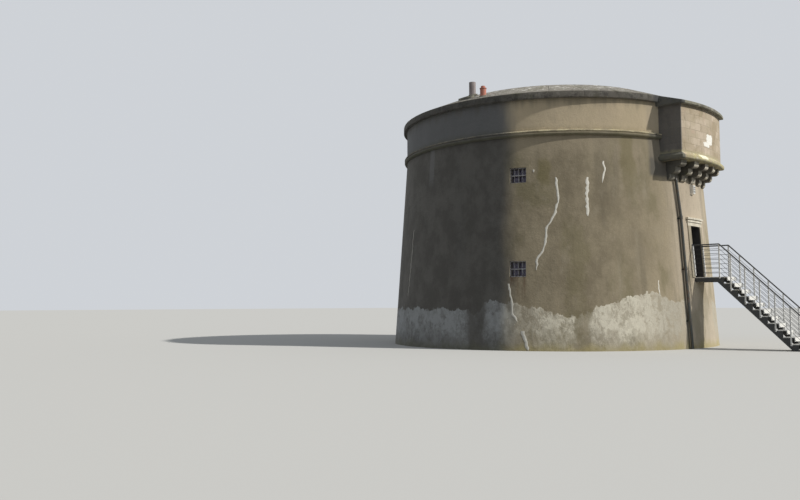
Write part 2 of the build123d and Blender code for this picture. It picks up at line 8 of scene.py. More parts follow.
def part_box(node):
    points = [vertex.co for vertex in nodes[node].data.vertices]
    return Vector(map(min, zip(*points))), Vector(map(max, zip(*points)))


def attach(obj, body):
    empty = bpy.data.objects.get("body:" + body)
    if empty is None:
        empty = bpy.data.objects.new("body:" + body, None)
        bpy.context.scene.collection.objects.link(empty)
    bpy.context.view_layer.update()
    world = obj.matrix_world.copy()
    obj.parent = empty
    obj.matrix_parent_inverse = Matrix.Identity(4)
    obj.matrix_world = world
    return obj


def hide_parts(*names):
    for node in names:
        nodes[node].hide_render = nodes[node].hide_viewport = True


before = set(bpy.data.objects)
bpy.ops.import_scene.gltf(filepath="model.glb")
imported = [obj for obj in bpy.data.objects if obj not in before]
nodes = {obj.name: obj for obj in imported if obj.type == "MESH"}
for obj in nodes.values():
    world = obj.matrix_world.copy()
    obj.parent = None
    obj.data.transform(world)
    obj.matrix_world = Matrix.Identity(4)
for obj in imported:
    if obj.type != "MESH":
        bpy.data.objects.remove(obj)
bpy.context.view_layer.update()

# Viewpoint. The eye of a standing person, 34 m from the axis of the tower and well to the left of
# its entrance. The lens, the aim and the small roll are those of the photograph.
eye_bearing = math.radians(-57.8)
eye_distance = 34.4
eye_height = 1.577
eye_turn = 0.184
eye_pitch = 0.0679
eye_roll = 0.0033
focal_pixels = 809.1
picture_width = 800

bpy.ops.object.camera_add()
camera = bpy.context.object
camera.name = "viewpoint"
camera.data.sensor_width = 36
camera.data.lens = focal_pixels / picture_width * camera.data.sensor_width
camera.data.clip_end = 1000
camera.matrix_world = (
    Matrix.Translation(
        (eye_distance * math.sin(eye_bearing), -eye_distance * math.cos(eye_bearing), eye_height)
    )
    @ Matrix.Rotation(eye_bearing + eye_turn, 4, "Z")
    @ Matrix.Rotation(math.pi / 2 + eye_pitch, 4, "X")
    @ Matrix.Rotation(-eye_roll, 4, "Z")
)
bpy.context.scene.camera = camera

# Floor and light. A plain pale floor that runs out to a plain backdrop, and one strong lamp with
# crisp shadows high on the entrance side, with an even fill from all round.
floor_reach = 600
floor_colour = (0.54, 0.54, 0.53)
floor_bounce = (0.15, 0.15, 0.145)
backdrop_colour = (0.62, 0.645, 0.68, 1)
fill_colour = (0.9, 0.95, 1.0, 1)
fill_strength = 0.42
sun_colour = (1.0, 0.965, 0.9)
sun_strength = 3.8
sun_bearing = math.radians(20)
sun_height = math.radians(37)
sun_softness = math.radians(1.5)


class Wire:
    """An output of a shader node, or just its tree, that can be used in sums."""

    def __init__(self, tree, socket=None):
        self.tree = tree
        self.socket = socket

    def node(self, kind, settings, values, output=0):
        """Add a node with its settings, and values or wires by a socket's name or number."""
        made = self.tree.nodes.new("ShaderNode" + kind)
        for name, setting in settings.items():
            setattr(made, name, setting)
        for name, value in values.items():
            if isinstance(value, Wire):
                self.tree.links.new(value.socket, made.inputs[name])
            else:
                made.inputs[name].default_value = value
        return Wire(self.tree, made.outputs[output])

    def sum(self, operation, first, second=0):
        return self.node("Math", {"operation": operation}, {0: first, 1: second})

    def __add__(self, other):
        return self.sum("ADD", self, other)

    __radd__ = __add__

    def __sub__(self, other):
        return self.sum("SUBTRACT", self, other)

    def __rsub__(self, other):
        return self.sum("SUBTRACT", other, self)

    def __mul__(self, other):
        return self.sum("MULTIPLY", self, other)

    __rmul__ = __mul__

    def __truediv__(self, other):
        return self.sum("DIVIDE", self, other)

    def __abs__(self):
        return self.sum("ABSOLUTE", self)


class Finish:
    """A procedural material: its place on the object as wires, and a colour built up in layers."""

    def __init__(self, name):
        self.material = bpy.data.materials.new(name)
        self.material.use_nodes = True
        self.tree = self.material.node_tree
        self.shader = self.tree.nodes["Principled BSDF"]
        self.node = Wire(self.tree).node
        self.place = self.node("TexCoord", {}, {}, "Object")
        self.x, self.y, self.z = [self.along(self.place, axis) for axis in range(3)]
        self.bearing = self.x.sum("ARCTAN2", self.x, 0 - self.y) * math.degrees(1)
        self.turn = abs(self.bearing)

    def along(self, vector, axis):
        """Part of a vector along x, y or z, which are 0, 1 and 2."""
        return self.node("SeparateXYZ", {}, {0: vector}, axis)

    def facing(self, axis):
        """How far the surface faces along an axis, from -1 to 1."""
        return self.along(self.node("NewGeometry", {}, {}, "Normal"), axis)

    def mapped(self, stretch, shift):
        stretch = stretch if isinstance(stretch, tuple) else (1, 1, stretch)
        values = {"Vector": self.place, "Scale": stretch, "Location": shift}
        return self.node("Mapping", {}, values)

    def noise(self, scale, stretch=1, detail=5, roughness=0.55, shift=(0, 0, 0)):
        """Soft random mottling, 0 to 1, drawn out upwards or along an axis by a small stretch."""
        values = {"Scale": scale, "Detail": detail, "Roughness": roughness}
        values["Vector"] = self.mapped(stretch, shift)
        return self.node("TexNoise", {}, values)

    def spots(self, scale, shift=(0, 0, 0)):
        """Distance to the nearest of many scattered points."""
        values = {"Vector": self.mapped(1, shift), "Scale": scale}
        return self.node("TexVoronoi", {}, values)

    def tone(self, number):
        """Random tone, 0 to 1, for each whole number, such as the place of a stone in its ring."""
        values = {"W": number.sum("FLOOR", number)}
        return self.node("TexWhiteNoise", {"noise_dimensions": "1D"}, values)

    def blocks(self, across, up, length, height, joint):
        """Blocks laid in bond: (random tone of each block, 1 in the joints)."""
        values = {
            "Vector": self.node("CombineXYZ", {}, {0: across, 1: up}),
            "Color1": (0, 0, 0, 1),
            "Color2": (1, 1, 1, 1),
            "Mortar": (0.5, 0.5, 0.5, 1),
            "Scale": 1.0,
            "Mortar Size": joint,
            "Mortar Smooth": 0.5,
            "Brick Width": length,
            "Row Height": height,
        }
        tones = self.node("TexBrick", {}, values, "Color")
        return tones, Wire(self.tree, tones.socket.node.outputs["Fac"])

    def rise(self, value, low, high):
        """0 below low and 1 above high, with a smooth step between. High may be under low."""
        values = {"Value": value, "From Min": low, "From Max": high}
        return self.node("MapRange", {"interpolation_type": "SMOOTHSTEP"}, values)

    def patches(self, low, high, *form, **more):
        """Ragged patches, 1 where noise of this form is above high."""
        return self.rise(self.noise(*form, **more), low, high)

    def near(self, value, middle, reach):
        """1 at a middle value, falling to 0 at a reach on each side."""
        return self.rise(abs(value - middle), reach, reach * 0.5)

    def mix(self, share, first, second):
        """Blend two colours by a share from 0 to 1."""
        colours = {0: share}
        for number, colour in ((6, first), (7, second)):
            colours[number] = colour if isinstance(colour, Wire) else (*colour, 1)
        return self.node("Mix", {"data_type": "RGBA"}, colours, 2)

    def base(self, share, first, second):
        """Begin the colour as a blend of two."""
        self.colour = self.mix(share, first, second)

    def lay(self, share, colour):
        """Lay a share of another colour over the colour so far."""
        self.colour = self.mix(share, self.colour, colour)

    def feed(self, name, value):
        """Give an input of the shader a value or a wire."""
        if isinstance(value, Wire):
            self.tree.links.new(value.socket, self.shader.inputs[name])
        else:
            self.shader.inputs[name].default_value = value

    def wear(self, roughness, relief, depth):
        """Join the colour, the roughness and the height of the surface to the shader."""
        self.feed("Base Color", self.colour)
        self.feed("Roughness", roughness)
        values = {"Strength": 1.0, "Distance": depth, "Height": relief}
        self.feed("Normal", self.node("Bump", {}, values))

    def put_on(self, *names):
        for name in names:
            if not nodes[name].material_slots:
                nodes[name].data.materials.append(self.material)
            for slot in nodes[name].material_slots:
                slot.material = self.material


def seen_directly(maker):
    """1 to the eye, also through glass or in a mirror, and 0 to the light that bounces on."""
    rays = ("Is Camera Ray", "Is Glossy Ray", "Is Transmission Ray")
    eye, mirror, glass = [maker.node("LightPath", {}, {}, ray) for ray in rays]
    return eye + mirror + glass


bpy.ops.mesh.primitive_plane_add(size=floor_reach)
floor = bpy.context.object
floor.name = "studio_floor"
matt = Finish("studio_floor")
matt.feed("Base Color", matt.mix(seen_directly(matt), floor_bounce, floor_colour))
matt.feed("Roughness", 0.9)
matt.feed("Specular IOR Level", 0.0)
floor.data.materials.append(matt.material)

bpy.ops.object.light_add(type="SUN")
sun = bpy.context.object
sun.name = "broad_lamp"
sun.data.energy = sun_strength
sun.data.color = sun_colour
sun.data.angle = sun_softness
sun.rotation_euler = (math.pi / 2 - sun_height, 0, sun_bearing)

world = bpy.data.worlds.new("studio")
bpy.context.scene.world = world
world.use_nodes = True
studio = Wire(world.node_tree)
fill = world.node_tree.nodes["Background"]
fill.inputs["Color"].default_value = fill_colour
fill.inputs["Strength"].default_value = fill_strength
backdrop = studio.node("Background", {}, {"Color": backdrop_colour, "Strength": 1.0})
fill_or_backdrop = {0: seen_directly(studio), 1: Wire(studio.tree, fill.outputs[0]), 2: backdrop}
surround = studio.node("MixShader", {}, fill_or_backdrop)
world_output = world.node_tree.nodes["World Output"]
world.node_tree.links.new(surround.socket, world_output.inputs["Surface"])

bpy.context.scene.view_settings.view_transform = "Standard"

# Main wall. Coarse masonry under a rough cement render, grey-brown and streaked by rain, with salt
# and old limewash showing in a ragged band at the foot. On the side to the sea the colour is
# darker, partly as damp and partly as painted shade, and a painted shadow of the bay lies beside
# the bay.
lower_sill_level = 2.53
door_sill_level = 2.54
lintel_bottom = 4.42
doorway_half = 0.4
door_frame_y = -5.2
window_bearing = 68
rust_length = 1.1
pipe_dirt_and_shade_bearing = -10.4
bay_edge_bearing = -21.5
corbel_foot = 5.995
bare_places = ((-81.6, 4.5, 0.85, 7), (-67.6, 5.5, 0.36, 9), (-48.7, 3.2, 0.75, 6))
foot_band_limit = 2.5
foot_band_tops = (
    (-110, 1.42),
    (-85, 1.38),
    (-82.5, 1.1),
    (-79, 1.62),
    (-71, 1.68),
    (-59, 1.36),
    (-50, 1.16),
    (-46.5, 1.42),
    (-33, 1.76),
    (-24, 1.93),
    (-18, 1.69),
)


def shaded_seaward(coat):
    """1 on the side that faces the sea and is turned from the lamp, where colour is darkened partly
    as damp and partly as painted shade, and 0 elsewhere.
    """
    wander = (coat.noise(1.4, 0.3, shift=(2, 2, 9)) - 0.5) * 7
    return coat.rise(coat.bearing + wander, -67, -75) * coat.rise(coat.bearing, -172, -140)


def rendered_coat(name):
    """Rough cement render and its weathering, with painted shade on the side to the sea and a
    painted shadow beside the bay: the finish and its relief.
    """
    coat = Finish(name)
    coat.feed("Diffuse Roughness", 1.0)
    broad = coat.noise(0.55, detail=3)
    clouds = coat.noise(1.2, 0.8, detail=9, roughness=0.66, shift=(11, 4, 2))
    coat.base(coat.rise(clouds, 0.36, 0.64), (0.335, 0.28, 0.188), (0.47, 0.4, 0.278))
    washed = coat.rise(coat.turn + broad * 22, 56, 22)
    coat.lay(washed * 0.66, (0.585, 0.495, 0.34))
    coat.lay(coat.near(coat.turn, 66, 14) * 0.22, (0.56, 0.48, 0.34))
    blush = coat.rise(coat.turn + clouds * 9, 24, 16)
    blush *= 0.46 + 0.24 * coat.rise(coat.turn, 11, 9)
    coat.lay(blush, (0.79, 0.69, 0.56))
    olive = coat.patches(0.49, 0.62, 0.8, 0.6, detail=6, shift=(7, 3, 0))
    coat.lay(olive * 0.46, (0.262, 0.23, 0.112))
    patches = coat.patches(0.54, 0.68, 2.4, 0.7, detail=8, roughness=0.64, shift=(2, 9, 4))
    coat.lay(patches * 0.4, (0.52, 0.45, 0.33))
    dark_runs = coat.patches(0.5, 0.7, 1.8, 0.1, detail=8, shift=(5, 1, 2))
    coat.lay(dark_runs * 0.34, (0.18, 0.154, 0.104))
    pale_runs = coat.patches(0.55, 0.74, 2.7, 0.1, detail=8)
    coat.lay(pale_runs * 0.34, (0.54, 0.48, 0.36))
    # The side to the sea, turned from the lamp, is laid over with dark grey: partly damp, partly
    # painted shade.
    shaded_side = shaded_seaward(coat)
    damp_and_shade_grey = coat.mix(coat.rise(clouds, 0.38, 0.62), (0.1, 0.101, 0.103), (0.152, 0.153, 0.153))
    coat.lay(shaded_side * 0.9, damp_and_shade_grey)
    # Painted shadow: the wall and parapet to the left of the bay, above the foot of the corbels,
    # are painted dark grey where the bay's shadow falls.
    bay_shadow_edge = coat.bearing + clouds * 2 - bay_edge_bearing
    bay_shadow_painted = coat.rise(bay_shadow_edge, -1, 1) * coat.rise(coat.bearing, 6, -6)
    bay_shadow_painted *= coat.rise(coat.z, corbel_foot + 0.025, corbel_foot + 0.205)
    coat.lay(bay_shadow_painted * 0.8, (0.115, 0.114, 0.112))
    grain = coat.noise(34, detail=7, roughness=0.72)
    coat.lay(coat.rise(grain, 0.32, 0.72) * 0.28, (0.19, 0.162, 0.116))
    relief = coat.noise(6.0, detail=8, roughness=0.62) * 0.8 + grain * 0.35 + broad * 1.2
    return coat, relief


wall, relief = rendered_coat("wall_render")
band_start, band_end = foot_band_tops[0][0], foot_band_tops[-1][0]
along_band = (0 - wall.turn - band_start) / (band_end - band_start)
band_top = wall.node("ValToRGB", {}, {"Fac": along_band})
stops = band_top.socket.node.color_ramp.elements
for number, (bearing, level) in enumerate(foot_band_tops):
    stop = stops[number] if number < len(stops) else stops.new(1)
    stop.position = (bearing - band_start) / (band_end - band_start)
    stop.color = [level / foot_band_limit] * 3 + [1]
ragged = wall.noise(1.5, 0.7, detail=8, roughness=0.64, shift=(3, 3, 3)) - 0.5
fingers = wall.noise(6.5, 0.8, detail=7, roughness=0.62) - 0.5
band_edge = band_top * foot_band_limit + ragged * 0.85 + fingers * 0.42
band = wall.rise(wall.z - band_edge, 0.03, -0.02)
shaded_side = shaded_seaward(wall)
blotches = wall.patches(0.44, 0.52, 1.5, detail=9, roughness=0.68, shift=(1, 2, 3))
scales = wall.patches(0.46, 0.53, 6, 0.7, detail=9, roughness=0.72)
bare = 0
for bearing, reach, share, raggedness in bare_places:
    bare += share * wall.near(wall.bearing + ragged * raggedness, bearing, reach)
strong = wall.rise(wall.turn + ragged * 6, 49, 45) * wall.rise(wall.turn, 12, 20)
cover = 0.34 + 0.34 * blotches + 0.34 * scales + 0.1 * shaded_side + 0.14 * strong
washed_off = wall.rise(wall.z + ragged * 1.3 + fingers * 0.9, 0.95, 0.25)
cover *= (1 - bare) * (1 - 0.7 * wall.rise(wall.turn, 11, 9)) * (1 - 0.52 * washed_off)
limewash = wall.mix(strong, (0.86, 0.815, 0.69), (0.85, 0.81, 0.695))
limewash = wall.mix(wall.rise(wall.bearing, -34, -14), limewash, (0.6, 0.56, 0.465))
# On the shaded side to the sea the limewash is painted grey as shade.
limewash = wall.mix(shaded_side, limewash, (0.44, 0.452, 0.455))
wall.lay(band * cover, limewash)
damp_edge = wall.noise(2.2, 0.4, detail=7, shift=(8, 8, 8)) * 0.7
damp = wall.rise(wall.z + damp_edge, 0.72, 0.34)
# The damp at the foot is painted darker on the shaded side to the sea, as shade.
wall.lay(damp * 0.62, wall.mix(shaded_side, (0.5, 0.425, 0.175), (0.19, 0.187, 0.13)))
drips = wall.noise(3.0, 0.12, detail=7, shift=(2, 0, 5)) * 1.2
under_string = wall.rise(wall.z - drips, 6.5, 7.2)
wall.lay(under_string * (0.06 + 0.12 * shaded_side), (0.108, 0.095, 0.066))
pale_top = wall.rise(wall.z + ragged * 1.6, 6.5, 7.1) * (1 - shaded_side)
wall.lay(pale_top * 0.3, (0.62, 0.53, 0.39))
ragged_level = wall.z + ragged
olive_stain = wall.near(wall.bearing + ragged * 6, -59.6, 3.0) * wall.near(ragged_level, 6.18, 0.5)
olive_drip = wall.near(wall.bearing + ragged * 5, -31, 3.4) * wall.rise(ragged_level, 4.9, 6.6)
wall.lay(olive_stain * 0.5 + olive_drip * 0.48, (0.25, 0.212, 0.082))
pale_drip = wall.near(wall.bearing + fingers * 2.0, -104.5, 1.9) * wall.rise(wall.z, 5.9, 6.5)
wall.lay(pale_drip * 0.34, (0.33, 0.335, 0.34))
rust = wall.rise(wall.z, lower_sill_level - rust_length, lower_sill_level)
rust *= wall.rise(wall.z, lower_sill_level + 0.03, lower_sill_level)
rust *= wall.near(wall.bearing, -window_bearing, 3.4)
rust *= wall.patches(0.36, 0.62, 9, 0.12, shift=(1, 7, 0))
wall.lay(rust * 0.75, (0.15, 0.08, 0.04))
# Dark strip on the wall behind the pipe: partly a dirt run and partly painted shade that joins the
# pipe to its shadow.
pipe_dirt_and_shade = wall.near(wall.bearing, pipe_dirt_and_shade_bearing, 0.75) * wall.rise(wall.z, 6.15, 5.95)
wall.lay(pipe_dirt_and_shade * 0.72, (0.07, 0.058, 0.044))
beside_pipe = wall.near(wall.bearing + fingers * 1.4, pipe_dirt_and_shade_bearing - 2, 1.1)
wall.lay(beside_pipe * wall.rise(wall.z, 6.2, 5.6) * 0.45, (0.62, 0.545, 0.425))
# Painted shade: the deep reveal of the doorway, turned from the lamp, is painted near black.
doorway_painted_shade = wall.rise(abs(wall.x), doorway_half + 0.012, doorway_half + 0.006)
doorway_painted_shade *= wall.rise(wall.z, door_sill_level - 0.01, door_sill_level)
doorway_painted_shade *= wall.rise(wall.z, lintel_bottom + 0.02, lintel_bottom + 0.01)
doorway_painted_shade *= wall.rise(wall.y, door_frame_y, door_frame_y - 0.2)
wall.lay(doorway_painted_shade * 0.93, (0.03, 0.03, 0.036))
wall.wear(0.93, relief + band * cover * 0.3, 0.022)
wall.put_on("left_front_wall", "right_front_wall", "left_rear_wall", "right_rear_wall")
wall.put_on("left_window_wall", "right_window_wall", "rear_window_wall")
wall.put_on("left_door_pier", "right_door_pier", "wall_below_door", "wall_over_door")

# Repaired cracks. Cracks in the render, raked out and filled with pale mortar. The filler stands a
# few millimetres proud and follows the crack up the wall.
base_radius = 6.5
wall_height = 7.47
wall_batter = 0.53
repair_proud = 0.006
repair_depth = 0.012
repair_cells_across = 4
repair_rows_per_metre = 11
repair_wander = 0.2
repair_widths = (0.5, 1.25)
repair_tip = 0.2


def wall_radius(level):
    return base_radius - wall_batter * level / wall_height


def polar(bearing, radius, level):
    """Point at a bearing in radians, a distance from the axis and a level."""
    return Vector((radius * math.sin(bearing), -radius * math.cos(bearing), level))


def select(*pieces):
    """Select pieces alone, with the first one active."""
    bpy.ops.object.select_all(action="DESELECT")
    for piece in pieces:
        piece.select_set(True)
    bpy.context.view_layer.objects.active = pieces[0]


def apply_modifiers(piece):
    select(piece)
    for modifier in list(piece.modifiers):
        bpy.ops.object.modifier_apply(modifier=modifier.name)


def settle(piece, name, finish):
    """Name a finished piece, put its place in its mesh, and give it its finish and its body."""
    select(piece)
    bpy.ops.object.transform_apply(location=True, rotation=True, scale=True)
    bpy.ops.object.shade_smooth_by_angle(angle=math.radians(35))
    piece.name = name
    piece.data.materials.clear()
    piece.data.materials.append(finish.material)
    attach(piece, "root")


def crack_repair(name, width, turns):
    """Strip of filler along (bearing in degrees, level) turns, from the top down."""
    dice = random.Random(name)
    rows = []
    for (bearing, level), (next_bearing, next_level) in zip(turns, turns[1:]):
        count = max(2, round(abs(level - next_level) * repair_rows_per_metre))
        for step in range(count):
            share = step / count
            wander = dice.uniform(-repair_wander, repair_wander)
            row_bearing = math.radians(bearing + (next_bearing - bearing) * share + wander)
            row_level = level + (next_level - level) * share
            rows.append((row_bearing, row_level, width * dice.uniform(*repair_widths)))
    rows.append((math.radians(turns[-1][0]), turns[-1][1], width * repair_tip))
    rows.reverse()
    bpy.ops.mesh.primitive_grid_add(
        x_subdivisions=repair_cells_across, y_subdivisions=len(rows) - 1, size=1
    )
    strip = bpy.context.object
    for number, vertex in enumerate(strip.data.vertices):
        row, place = divmod(number, repair_cells_across + 1)
        bearing, level, breadth = rows[row]
        offset = place / repair_cells_across - 0.5
        radius = wall_radius(level) + repair_proud * (1.4 - (2 * offset) ** 2)
        vertex.co = polar(bearing + offset * breadth / radius, radius, level)
    shell = strip.modifiers.new("depth", "SOLIDIFY")
    shell.thickness = repair_depth
    shell.offset = -1
    apply_modifiers(strip)
    settle(strip, name, filler)


filler = Finish("crack_filler")
filler.base(filler.noise(9, detail=6), (0.6, 0.57, 0.49), (0.86, 0.84, 0.77))
filler.wear(0.9, filler.noise(60, detail=4), 0.004)

high_turns = (-55.7, 5.98), (-55.17, 5.58), (-54.88, 5.26), (-55.68, 4.85), (-57.03, 4.54)
low_turns = (-58.67, 4.22), (-59.16, 3.82), (-60.04, 3.43), (-61.83, 3.15), (-62.23, 2.76)
crack_repair("long_crack_repair", 0.082, high_turns + low_turns)
crack_repair("broad_crack_repair", 0.11, ((-45.45, 5.97), (-45.9, 5.2), (-45.77, 4.6)))
crack_repair("upper_crack_repair", 0.06, ((-39.92, 6.55), (-39.42, 6.22), (-40.57, 5.77)))
lower_turns = ((-70.76, 2.3), (-70.12, 1.78), (-69.4, 1.23), (-68.08, 0.99))
crack_repair("lower_crack_repair", 0.09, lower_turns)
crack_repair("foot_crack_repair", 0.11, ((-66.54, 0.68), (-65.48, 0.29), (-64.8, 0.02)))
crack_repair("right_crack_repair", 0.035, ((-22.42, 2.4), (-22.14, 1.84)))
crack_repair("left_crack_repair", 0.03, ((-115.58, 4.5), (-116.28, 3.06), (-117.46, 1.93)))
crack_repair("filled_hole", 0.062, ((-62.83, 6.28), (-62.8, 6.18)))

# Window casements. Small dark painted timber frames with a cross of glazing bars, set deep in the
# wall, each with four panes of old glass puttied in from behind.
casement = Finish("casement_paint")
chalking = casement.noise(14, detail=6)
casement.base(chalking, (0.11, 0.098, 0.1), (0.235, 0.215, 0.205))
bare_wood = casement.patches(0.6, 0.7, 30, 0.2, shift=(3, 1, 2))
casement.lay(bare_wood, (0.205, 0.165, 0.118))
casement.wear(0.45 + 0.35 * chalking, chalking, 0.003)
casement.put_on("lower_window_frames", "upper_window_frames")

# Old dusty glass, its lilac-grey colour a painted reflection of the sky.
glass_painted_sky = Finish("glass_painted_sky")
dust = glass_painted_sky.patches(0.45, 0.75, 7, detail=7, roughness=0.65)
glass_painted_sky.base(dust, (0.13, 0.11, 0.185), (0.26, 0.235, 0.32))
glass_painted_sky.wear(0.08 + 0.45 * dust, glass_painted_sky.noise(2.5, detail=2), 0.004)
glass_painted_sky.feed("Alpha", 0.94)
glass_painted_sky.put_on("lower_window_glass", "upper_window_glass")

# Window grilles. A flat iron frame leaded into the reveal in front of each small casement, with
# three round uprights that pass through one cross rail, once painted pale grey.
window_bearings = {"left": -window_bearing, "right": window_bearing, "rear": 180}
sill_levels = {"lower": lower_sill_level, "upper": 5.83}
window_width = 0.58
window_height = 0.55
grille_set_back = 0.13
grille_bar = 0.016
grille_frame = 0.03
grille_thickness = 0.012
upright_bars = 3
rivet_length = 0.014
rivet_radius = 0.011

grille = Finish("grille_paint")
flaked = grille.patches(0.5, 0.6, 20, detail=8, roughness=0.7)
grille.base(grille.noise(5), (0.4, 0.395, 0.42), (0.6, 0.595, 0.61))
grille.lay(flaked * 0.8, (0.11, 0.058, 0.032))
grille.wear(0.45 + 0.4 * flaked, grille.noise(80, detail=4) - flaked, 0.002)


def wall_place(bearing, radius, level):
    """Axes at a place on the wall: x to the right, y inwards, z up."""
    return Matrix.Translation(polar(bearing, radius, level)) @ Matrix.Rotation(bearing, 4, "Z")


def at(x, y, z):
    return Matrix.Translation((x, y, z))


def corners(x, y, z):
    """Places at the four corners of a level rectangle."""
    return [at(side * x, end * y, z) for side in (-1, 1) for end in (-1, 1)]


def join(pieces):
    """Join pieces into the first one."""
    select(*pieces)
    if len(pieces) > 1:
        bpy.ops.object.join()
    return pieces[0]


def copies(pattern, places):
    """Copies of a finished pattern at places, each with its own mesh. The pattern itself goes."""
    made = []
    for place in places:
        select(pattern)
        bpy.ops.object.duplicate(linked=False)
        twin = bpy.context.object
        twin.matrix_world = place @ pattern.matrix_world
        made.append(twin)
    bpy.data.objects.remove(pattern)
    return made


def settle_copies(parts, places, finish):
    """Join parts into one piece, and settle a copy of it at each named place."""
    for name, piece in zip(places, copies(join(parts), places.values())):
        settle(piece, name, finish)


def flat_bar(size, place=at(0, 0, 0), ease=0.002):
    """Bar of rectangular section with eased edges, at a place."""
    bpy.ops.mesh.primitive_cube_add(size=1)
    bar = bpy.context.object
    bar.scale = size
    bpy.ops.object.transform_apply(location=False, rotation=False, scale=True)
    bevel = bar.modifiers.new("ease", "BEVEL")
    bevel.width = ease
    bevel.segments = 2
    bpy.ops.object.modifier_apply(modifier=bevel.name)
    bar.matrix_world = place
    return bar


def round_bar(length, radius, place=at(0, 0, 0), sides=10):
    """Round bar along z with drawn-down ends. Nails, screws and bolts give (length, radius)."""
    bpy.ops.mesh.primitive_cylinder_add(vertices=sides, radius=radius, depth=length)
    bar = bpy.context.object
    bevel = bar.modifiers.new("ends", "BEVEL")
    bevel.width = min(radius, length) * 0.4
    bevel.segments = 2
    bevel.limit_method = "ANGLE"
    bevel.angle_limit = math.radians(50)
    bpy.ops.object.modifier_apply(modifier=bevel.name)
    bar.matrix_world = place
    return bar


outwards = Matrix.Rotation(math.pi / 2, 4, "X")
edge_x = (window_width - grille_frame) / 2
edge_z = (window_height - grille_frame) / 2
spacing = window_width / (upright_bars + 1)
upright = round_bar(window_height, grille_bar / 2)
shifts = [(number - (upright_bars - 1) / 2) * spacing for number in range(upright_bars)]
parts = copies(upright, [at(shift, 0, 0) for shift in shifts])
rail = flat_bar((window_width, grille_thickness, grille_frame))
parts += copies(rail, [at(0, 0, side * edge_z) for side in (-1, 0, 1)])
stile = flat_bar((grille_frame, grille_thickness, window_height))
parts += copies(stile, [at(side * edge_x, 0, 0) for side in (-1, 1)])
rivet = round_bar(rivet_length, rivet_radius, sides=8)
rivet_places = corners(edge_x, edge_z, grille_thickness / 2)
parts += copies(rivet, [outwards @ place for place in rivet_places])
places = {}
for row, level in sill_levels.items():
    for side, bearing in window_bearings.items():
        radius = wall_radius(level) - grille_set_back
        place = wall_place(math.radians(bearing), radius, level + window_height / 2)
        places[f"{row}_{side}_grille"] = place
settle_copies(parts, places, grille)

# Parapet and string course. The render of the wall goes on up the parapet. The string course at
# its foot is run in the same render, green in its hollow, with pale lichen and a painted highlight
# along its top edge.
string_edge = 7.6
string_top = 7.683

parapet, relief = rendered_coat("parapet_render")
drips = parapet.noise(4.0, 0.07, shift=(6, 2, 3))
# A pale tint over the parapet, turned to dark grey as painted shade on the side to the sea.
shade = parapet.mix(shaded_seaward(parapet), (0.85, 0.725, 0.525), (0.24, 0.246, 0.256))
parapet.lay(0.66, shade)
below_coping = parapet.rise(parapet.z - drips * 0.9, 7.95, 8.45)
parapet.lay(below_coping * 0.42, (0.15, 0.13, 0.094))
splash = parapet.rise(parapet.z + parapet.noise(5) * 0.3, string_top + 0.35, string_top + 0.05)
parapet.lay(splash * 0.35, (0.178, 0.172, 0.1))
parapet.wear(0.93, relief, 0.02)
parapet.put_on("left_parapet", "right_parapet", "rear_parapet")

string, relief = rendered_coat("string_course_render")
lichen = string.patches(0.43, 0.58, 2.6, detail=9, roughness=0.72)
moss = string.rise(string.z, string_edge, wall_height + 0.03)
string.lay(moss * 0.5, (0.135, 0.136, 0.078))
# Pale lichen along the top edge, partly a painted highlight, weaker on the shaded side to the sea.
edge_light = string.rise(string.z, string_edge - 0.01, string_edge + 0.02)
share = edge_light * (0.05 + 0.85 * lichen) * (1 - 0.72 * shaded_seaward(string))
string.lay(share, (0.66, 0.59, 0.39))
string.wear(0.92, relief + lichen * 0.3, 0.012)
string.put_on("string_course")

# Coping stones. Long blocks of weathered stone with eased edges, bedded in mortar on the parapet
# and on the bay. Their joints are raked, and pale lichen spots the slope.
stone_joint = 0.012
stone_ease = 0.014
stone_shift = 0.004
mortar_recess = 0.008
front_stone_arc = 11.5
rear_stone_arc = 130 / 11
coping_end = 115
bay_joints = (-25, -5.75, 5.75, 25)
coping_edge_top = 9.01
cheek_x = -1.7


